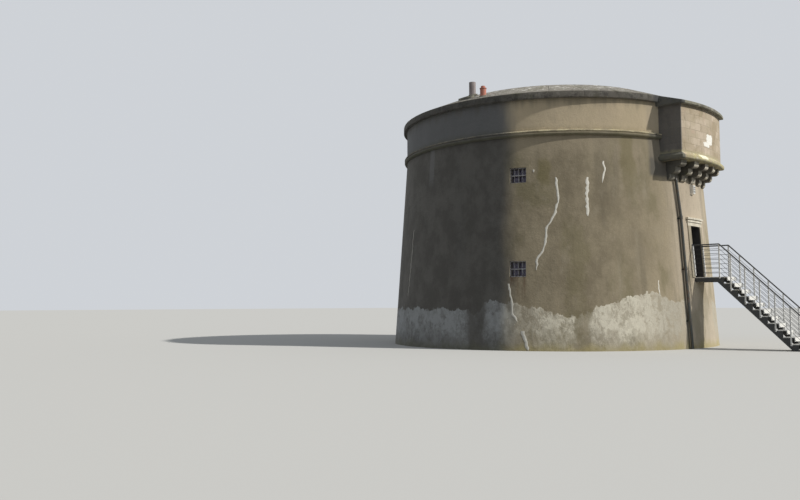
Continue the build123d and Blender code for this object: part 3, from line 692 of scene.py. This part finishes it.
def coping_finish(name, place_in_ring, soot, first, second):
    """Weathered stone whose tone changes from block to block, darker on its upright edge, with
    painted shade on the side to the sea and over the bay's left cheek.
    """
    stone = Finish(name)
    stone.feed("Diffuse Roughness", 1.0)
    stone.base(stone.tone(place_in_ring(stone)), first, second)
    grey = stone.noise(1.7, detail=8, roughness=0.64)
    stone.lay(stone.rise(grey, 0.36, 0.62) * 0.5, (0.262, 0.242, 0.212))
    black = stone.patches(0.5, 0.62, 3.6, detail=9, roughness=0.72, shift=(4, 4, 1))
    stone.lay(black * 0.58, (0.08, 0.072, 0.062))
    green = stone.patches(0.5, 0.66, 2.1, detail=7, shift=(2, 8, 6))
    stone.lay(green * 0.45, (0.15, 0.148, 0.08))
    edge = stone.rise(stone.z, coping_edge_top + 0.02, coping_edge_top - 0.03)
    stone.lay(edge * (soot + 0.22 * black), (0.056, 0.052, 0.045))
    slope = stone.rise(stone.z, coping_edge_top - 0.01, coping_edge_top + 0.24)
    ragged_lichen = (stone.noise(14, detail=8, roughness=0.7, shift=(1, 0, 4)) - 0.5) * 0.45
    crust = stone.patches(0.535, 0.59, 5.6, detail=10, roughness=0.74, shift=(9, 1, 5))
    stone.lay(crust * (0.12 + 0.7 * slope), (0.69, 0.665, 0.6))
    splashes = stone.patches(0.59, 0.622, 3.3, detail=7, roughness=0.66, shift=(5, 2, 7))
    stone.lay(splashes * (0.06 + 0.8 * slope), (0.76, 0.74, 0.69))
    specks = stone.rise(stone.spots(11.0, shift=(6, 2, 2)) + ragged_lichen, 0.22, 0.1)
    stone.lay(specks * (0.2 + 0.5 * slope), (0.56, 0.545, 0.48))
    golden = stone.rise(stone.spots(5.2, shift=(3, 5, 1)) + ragged_lichen, 0.1, 0.02)
    stone.lay(golden * 0.55, (0.43, 0.345, 0.12))
    pits = stone.noise(26, detail=8, roughness=0.72)
    # On the side to the sea the stone is painted darker as shade, its upright edge most.
    shaded_side = shaded_seaward(stone)
    stone.lay(shaded_side * (0.22 + 0.34 * edge), (0.07, 0.07, 0.068))
    # Painted shade over the coping of the bay's left cheek, where the bay's shadow falls.
    on_cheek = stone.rise(stone.x, cheek_x + 0.02, cheek_x - 0.06)
    sheltered_shade = on_cheek * stone.rise(stone.bearing, -22, -19)
    stone.lay(sheltered_shade * 0.76, (0.08, 0.084, 0.088))
    stone.wear(0.9, grey * 0.7 + pits * 0.5 + crust * 0.25, 0.016)
    return stone


def loose_copy(node_name):
    """Copy of a CAD node's mesh as a separate piece, with its doubles merged."""
    copy = bpy.data.objects.new(node_name + "_blank", nodes[node_name].data.copy())
    bpy.context.collection.objects.link(copy)
    select(copy)
    bpy.ops.object.mode_set(mode="EDIT")
    bpy.ops.mesh.select_all(action="SELECT")
    bpy.ops.mesh.remove_doubles(threshold=0.00002)
    bpy.ops.mesh.dissolve_limited(angle_limit=math.radians(0.6))
    bpy.ops.object.mode_set(mode="OBJECT")
    return copy


def trim(bearing, shift, keep_beyond):
    """Cut the piece in edit mode on a radial plane, and close the cut."""
    beyond = polar(math.radians(bearing + 90), 1, 0)
    bpy.ops.mesh.select_all(action="SELECT")
    bpy.ops.mesh.bisect(
        plane_co=beyond * shift,
        plane_no=beyond,
        use_fill=True,
        clear_inner=keep_beyond,
        clear_outer=not keep_beyond,
    )


def cut_stones(node_name, bearings, finish):
    """Stones cut from a copy of a coping at bearings in degrees, and the mortar between them."""
    dice = random.Random(node_name)
    stones = []
    for start, end in zip(bearings, bearings[1:]):
        stone = loose_copy(node_name)
        bpy.ops.object.mode_set(mode="EDIT")
        if start != bearings[0]:
            trim(start, stone_joint / 2, True)
        if end != bearings[-1]:
            trim(end, -stone_joint / 2, False)
        bpy.ops.object.mode_set(mode="OBJECT")
        bevel = stone.modifiers.new("ease", "BEVEL")
        bevel.width = stone_ease
        bevel.segments = 3
        bevel.limit_method = "ANGLE"
        bevel.angle_limit = math.radians(38)
        apply_modifiers(stone)
        middle = math.radians((start + end) / 2)
        stone.location = polar(middle, dice.uniform(-stone_shift, stone_shift), 0)
        bpy.ops.object.transform_apply(location=True, rotation=False, scale=False)
        stones.append(stone)
    ring = join(stones)
    settle(ring, node_name + "_stones", finish)
    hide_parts(node_name)
    mortar = loose_copy(node_name)
    bpy.ops.object.mode_set(mode="EDIT")
    bpy.ops.mesh.select_all(action="SELECT")
    bpy.ops.transform.shrink_fatten(value=-mortar_recess, use_even_offset=True)
    bpy.ops.object.mode_set(mode="OBJECT")
    settle(mortar, node_name + "_mortar", joint_mortar)


joint_mortar = Finish("joint_mortar")
mortar_tone = joint_mortar.noise(18, detail=6)
joint_mortar.base(mortar_tone, (0.115, 0.108, 0.09), (0.24, 0.225, 0.188))
joint_mortar.wear(0.95, joint_mortar.noise(70), 0.005)


def front_place(stone):
    return stone.bearing / front_stone_arc


def rear_place(stone):
    return stone.x.sum("ARCTAN2", stone.x, stone.y) * math.degrees(1) / rear_stone_arc + 0.5


tones = (0.24, 0.218, 0.182), (0.35, 0.32, 0.27)
front_coping = coping_finish("coping_stone", front_place, 0.42, *tones)
rear_coping = coping_finish("rear_coping_stone", rear_place, 0.42, *tones)
tones = (0.4, 0.385, 0.29), (0.5, 0.48, 0.38)
bay_coping = coping_finish("bay_coping_stone", front_place, 0.0, *tones)
joints = [front_stone_arc * count - coping_end for count in range(10)]
cut_stones("left_coping", joints, front_coping)
cut_stones("right_coping", [-bearing for bearing in reversed(joints)], front_coping)
joints = [rear_stone_arc * count + coping_end for count in range(12)]
cut_stones("rear_coping", joints, rear_coping)
cut_stones("bay_coping", bay_joints, bay_coping)

# Machicolated bay. Coursed rubble, limewashed and worn, so that its blocks show faintly, with a
# patch of fresh filler on the front and yellow lichen on the sill. Its left cheek, the flank of the
# sill beside it and the lower part of the sill are painted dark as shade.
bay_block_length = 0.52
bay_block_height = 0.27
bay_joint = 0.016
bay_foot = 7.17


def bay_finish(name, first, second):
    """Coursed blocks that show faintly under worn limewash: the finish and its relief."""
    bay = Finish(name)
    warp = bay.noise(2.6, detail=4)
    across = bay.x + bay.y + warp * 0.16
    up = bay.z + bay.noise(1.9, detail=4, shift=(4, 1, 8)) * 0.1
    tones, joints = bay.blocks(across, up, bay_block_length, bay_block_height, bay_joint)
    bay.base(tones, first, second)
    bay.lay(bay.rise(warp, 0.4, 0.62) * 0.55, (0.395, 0.335, 0.238))
    grime = bay.patches(0.54, 0.68, 4.5, 0.5, detail=8, roughness=0.7, shift=(1, 1, 7))
    bay.lay(grime * 0.8, (0.215, 0.178, 0.118))
    worn = bay.patches(0.47, 0.58, 1.3, detail=9, roughness=0.66, shift=(3, 8, 1))
    bay.lay(worn * 0.42, (0.262, 0.205, 0.118))
    runs = bay.patches(0.54, 0.7, 5.5, 0.08, shift=(2, 2, 2))
    bay.lay(runs * 0.35, (0.25, 0.225, 0.165))
    pink = bay.patches(0.58, 0.7, 3.2, shift=(6, 0, 3))
    bay.lay(pink * 0.45, (0.48, 0.35, 0.275))
    bay.lay(joints * 0.2, (0.215, 0.182, 0.13))
    relief = bay.noise(9, detail=8, roughness=0.65) * 0.7 - joints * 0.2 + tones * 0.25
    return bay, relief


tones = (0.385, 0.318, 0.232), (0.52, 0.44, 0.345)
bay, relief = bay_finish("bay_limewash", *tones)
ragged = bay.noise(11, detail=7, shift=(2, 5, 2)) - 0.5
patch_across = bay.near(bay.bearing + ragged * 2.2, 1.3, 2.9)
patch_up = bay.near(bay.z + ragged * 0.16, 7.57, 0.24)
patch_foot = bay.near(bay.bearing + ragged * 3.0, -1.0, 2.6)
patch_low = bay.near(bay.z + ragged * 0.14, 7.36, 0.11)
fresh = ragged.sum("MAXIMUM", patch_across * patch_up, patch_foot * patch_low)
fresh = bay.rise(fresh, 0.35, 0.55)
bay.lay(fresh, (0.8, 0.79, 0.74))
# Painted shade: the bay's left cheek, turned from the lamp, is painted near black.
shaded_cheek = bay.rise(bay.x, cheek_x, cheek_x - 0.055)
bay.lay(shaded_cheek * 0.84, (0.098, 0.1, 0.104))
ragged_foot = bay.z + bay.noise(5, shift=(7, 7, 1)) * 0.2
low_edge = bay.rise(ragged_foot, bay_foot, bay_foot - 0.14)
bay.lay(low_edge * 0.5, (0.43, 0.405, 0.245))
bay.wear(0.92, relief + fresh * 0.3, 0.015)
bay.put_on("bay_front_wall", "bay_left_cheek", "bay_right_cheek")

tones = (0.35, 0.305, 0.2), (0.48, 0.425, 0.3)
sill, relief = bay_finish("bay_sill", *tones)
yellow = sill.patches(0.44, 0.58, 4.2, detail=8, roughness=0.68, shift=(3, 3, 9))
sill.lay(yellow * 0.58, (0.5, 0.465, 0.205))
white_lichen = sill.patches(0.56, 0.61, 8, detail=9, roughness=0.74, shift=(0, 4, 2))
sill.lay(white_lichen * 0.75, (0.72, 0.7, 0.56))
ragged = sill.noise(11, detail=7, shift=(4, 5, 2)) - 0.5
patch = sill.near(sill.bearing + ragged * 2, -4.2, 3.0)
patch = sill.rise(patch * sill.rise(sill.z, 6.74, 6.8), 0.35, 0.55)
sill.lay(patch, (0.83, 0.81, 0.62))
# The lower part of the sill, under its roll, is painted darker as shade.
foot = sill.rise(sill.z, 6.8, 6.68)
sill.lay(foot * 0.45, (0.19, 0.18, 0.11))
# Painted shade on the flank of the sill beyond the bay's left cheek.
shaded_side = sill.rise(sill.x, cheek_x, cheek_x - 0.07)
sill.lay(shaded_side * 0.86, (0.09, 0.094, 0.09))
sill.wear(0.92, relief + yellow * 0.2, 0.014)
sill.put_on("bay_sill")

# Corbels. Dressed stone, stepped out one course over another and tailed into the wall. Their noses
# are rain-washed and pale. Their sides, and the corbels on the side to the sea, are painted dark,
# partly as soot and damp and partly as shade.
corbel_course = 0.225

corbel = Finish("corbel_stone")
broad = corbel.noise(2.4, detail=7, roughness=0.62)
broad_tone = corbel.rise(broad, 0.36, 0.62)
corbel.base(broad_tone, (0.42, 0.38, 0.305), (0.66, 0.61, 0.505))
# Faces not turned out from the wall are painted near black, partly as soot and damp and partly as
# shade; the corbels on the side to the sea are darkened as shade too.
sheltered_shade = corbel.rise(0 - corbel.facing(1), 0.8, 0.25)
corbel.lay(sheltered_shade * 0.84, (0.072, 0.068, 0.06))
shaded_side = corbel.rise(corbel.x, -0.95, -1.2)
corbel.lay(shaded_side * 0.6, (0.085, 0.083, 0.075))
course_joints = corbel.near(corbel.z, corbel_foot + corbel_course, 0.012)
course_joints += corbel.near(corbel.z, corbel_foot + 2 * corbel_course, 0.012)
black = corbel.patches(0.5, 0.66, 5.2, detail=8, shift=(1, 6, 2))
corbel.lay(black * 0.5, (0.07, 0.066, 0.056))
moss = corbel.patches(0.52, 0.68, 3.0, detail=6, shift=(9, 2, 2))
corbel.lay(moss * 0.45, (0.15, 0.158, 0.082))
corbel.lay(course_joints * 0.5, (0.09, 0.085, 0.07))
corbel.wear(0.9, broad + corbel.noise(28, detail=7) * 0.5, 0.012)
corbel.put_on("corbels")

# Entrance. The jambs are rendered like the wall, the lintel and its two bands of cornice are cream
# painted, and the sill is worn hollow and dark where people tread.
jambs = Finish("entrance_surround")
broad = jambs.noise(2.2, 0.4, detail=6)
jambs.base(jambs.rise(broad, 0.36, 0.64), (0.29, 0.255, 0.188), (0.385, 0.345, 0.262))
runs = jambs.patches(0.52, 0.7, 8, 0.08, shift=(1, 4, 2))
jambs.lay(runs * 0.5, (0.18, 0.16, 0.118))
lintel_share = jambs.rise(jambs.z, lintel_bottom - 0.01, lintel_bottom + 0.01)
cream = jambs.mix(jambs.patches(0.35, 0.65, 6, detail=7), (0.49, 0.45, 0.36), (0.62, 0.585, 0.49))
jambs.lay(lintel_share, cream)
jambs.wear(0.88, broad + jambs.noise(34, detail=6) * 0.5, 0.008)
jambs.put_on("door_surround")

cornice = Finish("cream_cornice")
broad = cornice.noise(6, detail=7)
cornice.base(cornice.rise(broad, 0.35, 0.65), (0.51, 0.47, 0.38), (0.65, 0.615, 0.525))
dirt = cornice.patches(0.55, 0.7, 12, 0.4, detail=8, shift=(3, 1, 1))
cornice.lay(dirt * 0.6, (0.17, 0.158, 0.118))
cornice.wear(0.85, broad + cornice.noise(40, detail=6) * 0.4, 0.006)
cornice.put_on("door_cornice")

doorstep = Finish("worn_doorstep")
broad = doorstep.noise(3.5, detail=7)
doorstep.base(broad, (0.19, 0.178, 0.15), (0.4, 0.378, 0.325))
tread_wear = doorstep.near(doorstep.x, 0, 0.34)
doorstep.lay(tread_wear * 0.45, (0.14, 0.13, 0.108))
doorstep.wear(0.75, broad + doorstep.noise(30, detail=6) * 0.4, 0.008)
doorstep.put_on("door_sill")

# Entrance door. Upright planks in a plain frame, deep in the reveal, with dark green paint worn to
# the grain. It hangs on two iron straps and has a lock plate and a ring handle.
plank_width = 0.1348
door_set_back = 0.45
door_face = door_set_back - wall_radius(lintel_bottom)
hinge_levels = {"lower": 2.86, "upper": 4.02}
strap_length = 0.52
strap_height = 0.05
strap_thickness = 0.006
strap_x = -0.075
strap_nails = 4
strap_nail_start = -0.2
strap_nail_spacing = 0.13
strap_nail = (0.014, 0.01)
latch_x = 0.24
latch_level = 3.46
lock_width = 0.11
lock_height = 0.17
lock_thickness = 0.006
lock_screw = (0.008, 0.006)
lock_screw_inset = 0.013
ring_radius = 0.042
ring_bar = 0.006
ring_place = (0, -0.014, -0.012)
ring_boss = (0.03, 0.009)
ring_boss_place = (0, -0.01, 0.03)
ring_hang = math.radians(80)

door = Finish("worn_door_paint")
plank = door.tone(door.x / plank_width + 0.5)
grain = door.noise(16, 0.06, detail=8)
door.base(plank, (0.02, 0.034, 0.028), (0.036, 0.052, 0.042))
door.lay(door.rise(grain, 0.58, 0.72), (0.11, 0.092, 0.066))
door.wear(0.45 + 0.35 * grain, grain, 0.004)
door.put_on("door_leaf", "door_frame")

iron = Finish("wrought_iron")
rust = iron.patches(0.42, 0.66, 22, detail=6)
iron.base(rust, (0.03, 0.03, 0.032), (0.11, 0.052, 0.026))
iron.wear(0.55 + 0.3 * rust, iron.noise(90, detail=4), 0.002)

parts = [flat_bar((strap_length, strap_thickness, strap_height), ease=0.0015)]
strap_eye = at(strap_length / 2, 0, 0) @ outwards
parts.append(round_bar(strap_thickness, strap_height * 0.66, strap_eye, 18))
nail = round_bar(*strap_nail, outwards, 6)
nail_xs = [strap_nail_start + strap_nail_spacing * number for number in range(strap_nails)]
parts += copies(nail, [at(x, -strap_thickness / 2, 0) for x in nail_xs])
places = {}
for row, level in hinge_levels.items():
    places[f"{row}_door_strap"] = at(strap_x, door_face - strap_thickness / 2, level)
settle_copies(parts, places, iron)

plate = at(latch_x, door_face - lock_thickness / 2, latch_level)
parts = [flat_bar((lock_width, lock_thickness, lock_height), plate, 0.0015)]
screw = round_bar(*lock_screw, sides=8)
screw_x = lock_width / 2 - lock_screw_inset
screw_z = lock_height / 2 - lock_screw_inset
places = corners(screw_x, screw_z, lock_thickness / 2)
parts += copies(screw, [plate @ outwards @ place for place in places])
bpy.ops.mesh.primitive_torus_add(
    major_radius=ring_radius, minor_radius=ring_bar, major_segments=32, minor_segments=10
)
ring = bpy.context.object
ring.matrix_world = plate @ at(*ring_place) @ Matrix.Rotation(ring_hang, 4, "X")
boss = round_bar(*ring_boss, plate @ at(*ring_boss_place) @ outwards, 12)
parts += [ring, boss]
settle(join(parts), "door_lock_plate", iron)

# Gun platform and firing step. Stone paving in long slabs with narrow joints, worn smooth, on the
# crown of the vault, and the same stone on the step that runs round the foot of the parapet.
slab_length = 0.95
slab_width = 0.6
slab_joint = 0.014

paving = Finish("platform_paving")
tones, joints = paving.blocks(paving.x, paving.y, slab_length, slab_width, slab_joint)
broad = paving.noise(1.3, detail=6)
paving.base(tones, (0.265, 0.25, 0.215), (0.375, 0.355, 0.31))
paving.lay(paving.rise(broad, 0.42, 0.62) * 0.45, (0.205, 0.195, 0.162))
puddle = paving.patches(0.52, 0.62, 0.8, shift=(5, 5, 5))
paving.lay(puddle * 0.4, (0.15, 0.152, 0.112))
paving.lay(joints * 0.85, (0.09, 0.09, 0.062))
lichen = paving.rise(paving.spots(3.6), 0.16, 0.08)
paving.lay(lichen * 0.6, (0.49, 0.48, 0.42))
relief = broad * 0.6 + paving.noise(22, detail=7) * 0.3
relief = relief - joints + tones * 0.2
paving.wear(0.86, relief, 0.012)
paving.put_on("gun_platform", "firing_step")

# Floors. A slab of worn flags on the ground, and two floors of wide old boards on the ledges of
# the wall, seen only through the openings.
flag_length = 0.8
flag_width = 0.55
flag_joint = 0.012
board_width = 0.19

flags = Finish("ground_flags")
tones, joints = flags.blocks(flags.y, flags.x, flag_length, flag_width, flag_joint)
flags.base(tones, (0.235, 0.222, 0.195), (0.345, 0.325, 0.285))
flags.lay(joints * 0.8, (0.085, 0.08, 0.065))
broad = flags.noise(2.2, detail=6)
flags.lay(broad * 0.4, (0.18, 0.168, 0.14))
flags.wear(0.85, broad - joints, 0.01)
flags.put_on("ground_floor")

boards = Finish("old_boards")
tone = boards.tone(boards.x / board_width)
grain = boards.noise(11, (1, 0.05, 1), detail=8)
boards.base(tone, (0.165, 0.108, 0.064), (0.275, 0.19, 0.12))
boards.lay(boards.rise(grain, 0.5, 0.7) * 0.6, (0.085, 0.055, 0.032))
place_in_board = boards.x.sum("FRACT", boards.x / board_width)
board_gap = boards.rise(place_in_board, 0.04, 0.01)
boards.lay(board_gap * 0.85, (0.02, 0.015, 0.01))
boards.wear(0.72, grain * 0.5 - board_gap, 0.006)
boards.put_on("first_floor", "upper_floor")

# Chimney. A thin rendered bed on the slope of the coping carries two clay pots, one plain, tall
# and soot-brown and one red with a collar, each haunched round with a fillet of mortar.
coping_radius = 6.11
crest_radius = 4.5
crest_height = 0.65
bed_thickness = 0.09
fillet_radius = 0.034
fillet_crumble = 0.018

bed, relief = rendered_coat("chimney_bed")
lichen = bed.patches(0.44, 0.6, 7, detail=8, roughness=0.7)
bed.lay(lichen * 0.55, (0.42, 0.41, 0.3))
bed.wear(0.93, relief + lichen * 0.3, 0.014)
bed.put_on("chimney_stack")


def clay_finish(name, first, second, soot):
    """Fired clay with soot running down from the mouth and pale lichen spots."""
    clay = Finish(name)
    fired = clay.noise(4.5, detail=6)
    clay.base(fired, first, second)
    sooty = clay.patches(0.42, 0.64, 12, 0.14, detail=7)
    clay.lay(sooty * soot, (0.05, 0.045, 0.045))
    spots = clay.rise(clay.spots(24), 0.22, 0.12)
    clay.lay(spots * 0.3, (0.48, 0.46, 0.4))
    clay.wear(0.8, fired * 0.6 + clay.noise(60) * 0.4, 0.004)
    return clay


buff_clay = clay_finish("buff_clay", (0.245, 0.208, 0.205), (0.365, 0.32, 0.315), 0.42)
buff_clay.put_on("buff_chimney_pot")
red_clay = clay_finish("red_clay", (0.43, 0.148, 0.105), (0.575, 0.24, 0.175), 0.34)
red_clay.put_on("red_chimney_pot")

coping_slope = crest_height / (coping_radius - crest_radius)
lean = Matrix.Rotation(math.atan(coping_slope), 4, "X")
for colour, pot_bearing, inset, bed_below, pot_radius in (
    ("buff", -89.4, 0.81, bed_thickness, 0.125),
    ("red", -82.4, 0.51, 0, 0.113),
):
    level = coping_edge_top + coping_slope * inset + bed_below
    bpy.ops.mesh.primitive_torus_add(
        major_radius=pot_radius, minor_radius=fillet_radius, major_segments=40, minor_segments=12
    )
    fillet = bpy.context.object
    foot = wall_place(math.radians(pot_bearing), coping_radius - inset, level)
    fillet.matrix_world = foot @ lean
    crumble = bpy.data.textures.new(f"{colour}_crumble", "CLOUDS")
    crumble.noise_scale = 0.05
    uneven = fillet.modifiers.new("uneven", "DISPLACE")
    uneven.texture = crumble
    uneven.strength = fillet_crumble
    apply_modifiers(fillet)
    settle(fillet, f"{colour}_pot_haunching", joint_mortar)

# Rainwater pipe. Cast iron in socketed lengths, once painted green-black. Behind each socket an
# iron plate is nailed to the wall.
pipe_bearing = math.radians(-10.3)
pipe_length = 1.83
pipe_lowest_joint = 0.96
pipe_joints = 3
ear_width = 0.2
ear_height = 0.038
ear_thickness = 0.012
ear_bedding = 0.002
ear_nail_x = 0.078
ear_nail = (0.016, 0.012)

pipe = Finish("worn_pipe_paint")
flake = pipe.patches(0.52, 0.64, 18, 0.3, detail=8, roughness=0.7)
pipe.base(pipe.noise(5, 0.2), (0.028, 0.034, 0.031), (0.06, 0.066, 0.06))
pipe.lay(flake * 0.75, (0.135, 0.072, 0.04))
pipe.wear(0.42 + 0.4 * flake, pipe.noise(50) - flake, 0.003)
pipe.put_on("downpipe")

parts = [flat_bar((ear_width, ear_thickness, ear_height))]
nail = round_bar(*ear_nail, outwards, 8)
parts += copies(nail, [at(side * ear_nail_x, -ear_thickness / 2, 0) for side in (-1, 1)])
places = {}
for number in range(pipe_joints):
    level = pipe_lowest_joint + pipe_length * number + ear_height / 2
    radius = wall_radius(level) + ear_thickness / 2 - ear_bedding
    places[f"pipe_plate_{number + 1}"] = wall_place(pipe_bearing, radius, level)
settle_copies(parts, places, pipe)

# Lamp over the entrance. A white enamelled housing on the wall with a milky glass in front, behind
# a guard of three hoops.
lamp_low, lamp_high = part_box("wall_lamp")
lamp_middle = (lamp_low.z + lamp_high.z) / 2
lamp_front = lamp_low.y
glass_size = (0.125, 0.03, 0.25)
glass_ease = 0.011
glass_set_back = 0.004
hoop_size = (0.162, 0.007, 0.01)
hoop_stand_off = 0.016
hoop_leg = (0.03, 0.004)
hoop_leg_x = 0.077
hoop_spacing = 0.082
spine_size = (0.01, 0.007, 0.262)
spine_stand_off = 0.021

enamel = Finish("lamp_enamel")
grime = enamel.patches(0.52, 0.72, 14, 0.3, detail=7)
enamel.base(grime * 0.6, (0.78, 0.775, 0.74), (0.42, 0.4, 0.34))
enamel.wear(0.35 + 0.3 * grime, enamel.noise(30, detail=3), 0.001)
enamel.put_on("wall_lamp")

milky = Finish("milky_glass")
milk_tone = milky.noise(10, detail=4)
milky.base(milk_tone, (0.7, 0.715, 0.7), (0.8, 0.81, 0.795))
milky.wear(0.22, milk_tone, 0.001)
lens = flat_bar(glass_size, at(0, lamp_front + glass_set_back, lamp_middle), glass_ease)
settle(lens, "lamp_glass", milky)

parts = [flat_bar(hoop_size, at(0, -hoop_stand_off, 0))]
leg = round_bar(*hoop_leg, outwards, 8)
parts += copies(leg, [at(side * hoop_leg_x, -hoop_leg[1], 0) for side in (-1, 1)])
places = [at(0, lamp_front, lamp_middle + count * hoop_spacing) for count in (-1, 0, 1)]
parts = copies(join(parts), places)
parts.append(flat_bar(spine_size, at(0, lamp_front - spine_stand_off, lamp_middle)))
settle(join(parts), "lamp_guard", iron)

# Stair and landing. Folded steel treads and square posts in white gloss paint, plate stringers,
# round handrails and thin guard bars in dark grey. Everything is bolted.
stair_risers = 11
stair_rise = door_sill_level / stair_risers
stair_going = 0.24
tread_depth = 0.38
plate_thickness = 0.025
landing_length = 1.165
landing_nose = wall_radius(door_sill_level) + landing_length
landing_post_back = 0.265
landing_post = landing_nose - landing_post_back
treads_per_post = 2
stair_posts = 6
post_steps = [treads_per_post * (place + 1) for place in range(stair_posts)]
post_size = 0.042
rail_x = 0.441
rail_level = 3.7
rail_radius = 0.023
rail_overhang = 0.072
surround_proud = 0.035
post_bolt_head = (0.012, 0.013)
post_bolt_washer = (0.003, 0.018)
flange = (0.01, 0.048)
flange_set_out = 0.004
flange_screw = (0.006, 0.005)
flange_screws = 3
flange_screw_place = (0, -0.006, 0.036)
cap_length = 0.016
cap_proud = 0.002
newel_plate = (0.11, 0.11, 0.01)
newel_bolt = (0.01, 0.009)
newel_bolt_place = (0.039, 0.039, 0.014)
stringer_x = 0.39
stringer_foot_out = 9.655
stringer_plate = (0.16, 0.26, 0.012)
anchor_bolt = (0.014, 0.012)
anchor_place = (0.055, 0.09, 0.018)

white = Finish("white_gloss")
grime = white.patches(0.46, 0.72, 7, detail=7, roughness=0.65)
white.base(grime * 0.45, (0.8, 0.8, 0.785), (0.56, 0.545, 0.5))
chips = white.patches(0.64, 0.68, 30, detail=7, roughness=0.7, shift=(3, 2, 4))
white.lay(chips, (0.18, 0.085, 0.045))
white.wear(0.3 + 0.35 * grime, white.noise(45, detail=4) - chips * 2, 0.001)
white.put_on("left_posts", "right_posts")

treads = Finish("worn_tread_paint")
foot_wear = treads.near(treads.x, 0, 0.4)
scuffs = treads.patches(0.42, 0.62, 11, (1, 0.6, 1), detail=8, roughness=0.7)
treads.base(treads.noise(5) * 0.5, (0.76, 0.76, 0.74), (0.62, 0.61, 0.57))
walked = treads.rise(treads.facing(2), 0.5, 0.9) * (0.35 + 0.65 * foot_wear)
treads.lay(walked * (0.35 + 0.5 * scuffs), (0.205, 0.2, 0.19))
treads.wear(0.4 + 0.35 * scuffs, treads.noise(60, detail=4), 0.002)
treads.put_on("stair_treads", "landing_deck")

dark = Finish("dark_grey_paint")
bloom = dark.noise(9, detail=6)
dark.base(bloom, (0.026, 0.029, 0.031), (0.062, 0.066, 0.068))
rust = dark.patches(0.6, 0.66, 21, detail=8, roughness=0.72, shift=(2, 2, 6))
dark.lay(rust * 0.8, (0.15, 0.066, 0.033))
dark.wear(0.38 + 0.35 * bloom, dark.noise(60, detail=4) - rust, 0.0015)
dark.put_on("left_stringer", "right_stringer", "left_rails", "right_rails")


def post_out(step):
    """Distance from the axis to the middle of the post at the back edge of a tread."""
    return landing_nose + step * stair_going - tread_depth + post_size / 2


def rail_slope_level(out):
    return rail_level - (out - landing_post) * stair_rise / stair_going


sides = ("left", -1), ("right", 1)


def settle_pair(parts, x, y, level, kind):
    """Join parts into one piece, and put a copy on each side of the stair."""
    places = {f"{name}_{kind}": at(side * x, y, level) for name, side in sides}
    settle_copies(parts, places, dark)


sideways = Matrix.Rotation(math.pi / 2, 4, "Y")
washer = round_bar(*post_bolt_washer, sideways, 16)
bolt = join([round_bar(*post_bolt_head, sideways, 6), washer])
bolt_places = [(landing_post, door_sill_level)]
for step in post_steps[:-1]:
    bolt_places.append((post_out(step), door_sill_level - step * stair_rise))
bolt_places = [at(0, -out, level - plate_thickness / 2) for out, level in bolt_places]
settle_pair(copies(bolt, bolt_places), rail_x + post_size / 2, 0, 0, "post_bolts")

wall_foot = math.sqrt((wall_radius(rail_level) + surround_proud) ** 2 - rail_x**2)
parts = [round_bar(*flange, outwards, 28)]
screw = round_bar(*flange_screw, outwards, 6)
sector = math.tau / flange_screws
turns = [Matrix.Rotation(count * sector, 4, "Y") for count in range(flange_screws)]
parts += copies(screw, [turn @ at(*flange_screw_place) for turn in turns])
settle_pair(parts, rail_x, -wall_foot - flange_set_out, rail_level, "rail_flange")

rail_end = post_out(post_steps[-1]) + rail_overhang
down_rail = Matrix.Rotation(math.pi / 2 + math.atan(stair_rise / stair_going), 4, "X")
cap = round_bar(cap_length, rail_radius + cap_proud, down_rail, 24)
settle_pair([cap], rail_x, -rail_end, rail_slope_level(rail_end), "rail_cap")

parts = [flat_bar(newel_plate, at(0, 0, newel_plate[2] / 2))]
bolt = round_bar(*newel_bolt, sides=6)
parts += copies(bolt, corners(*newel_bolt_place))
settle_pair(parts, rail_x, -post_out(post_steps[-1]), 0, "newel_plate")

parts = [flat_bar(stringer_plate, at(0, 0, stringer_plate[2] / 2))]
bolt = round_bar(*anchor_bolt, sides=6)
parts += copies(bolt, corners(*anchor_place))
settle_pair(parts, stringer_x, -stringer_foot_out, 0, "stringer_foot")

bpy.context.view_layer.update()
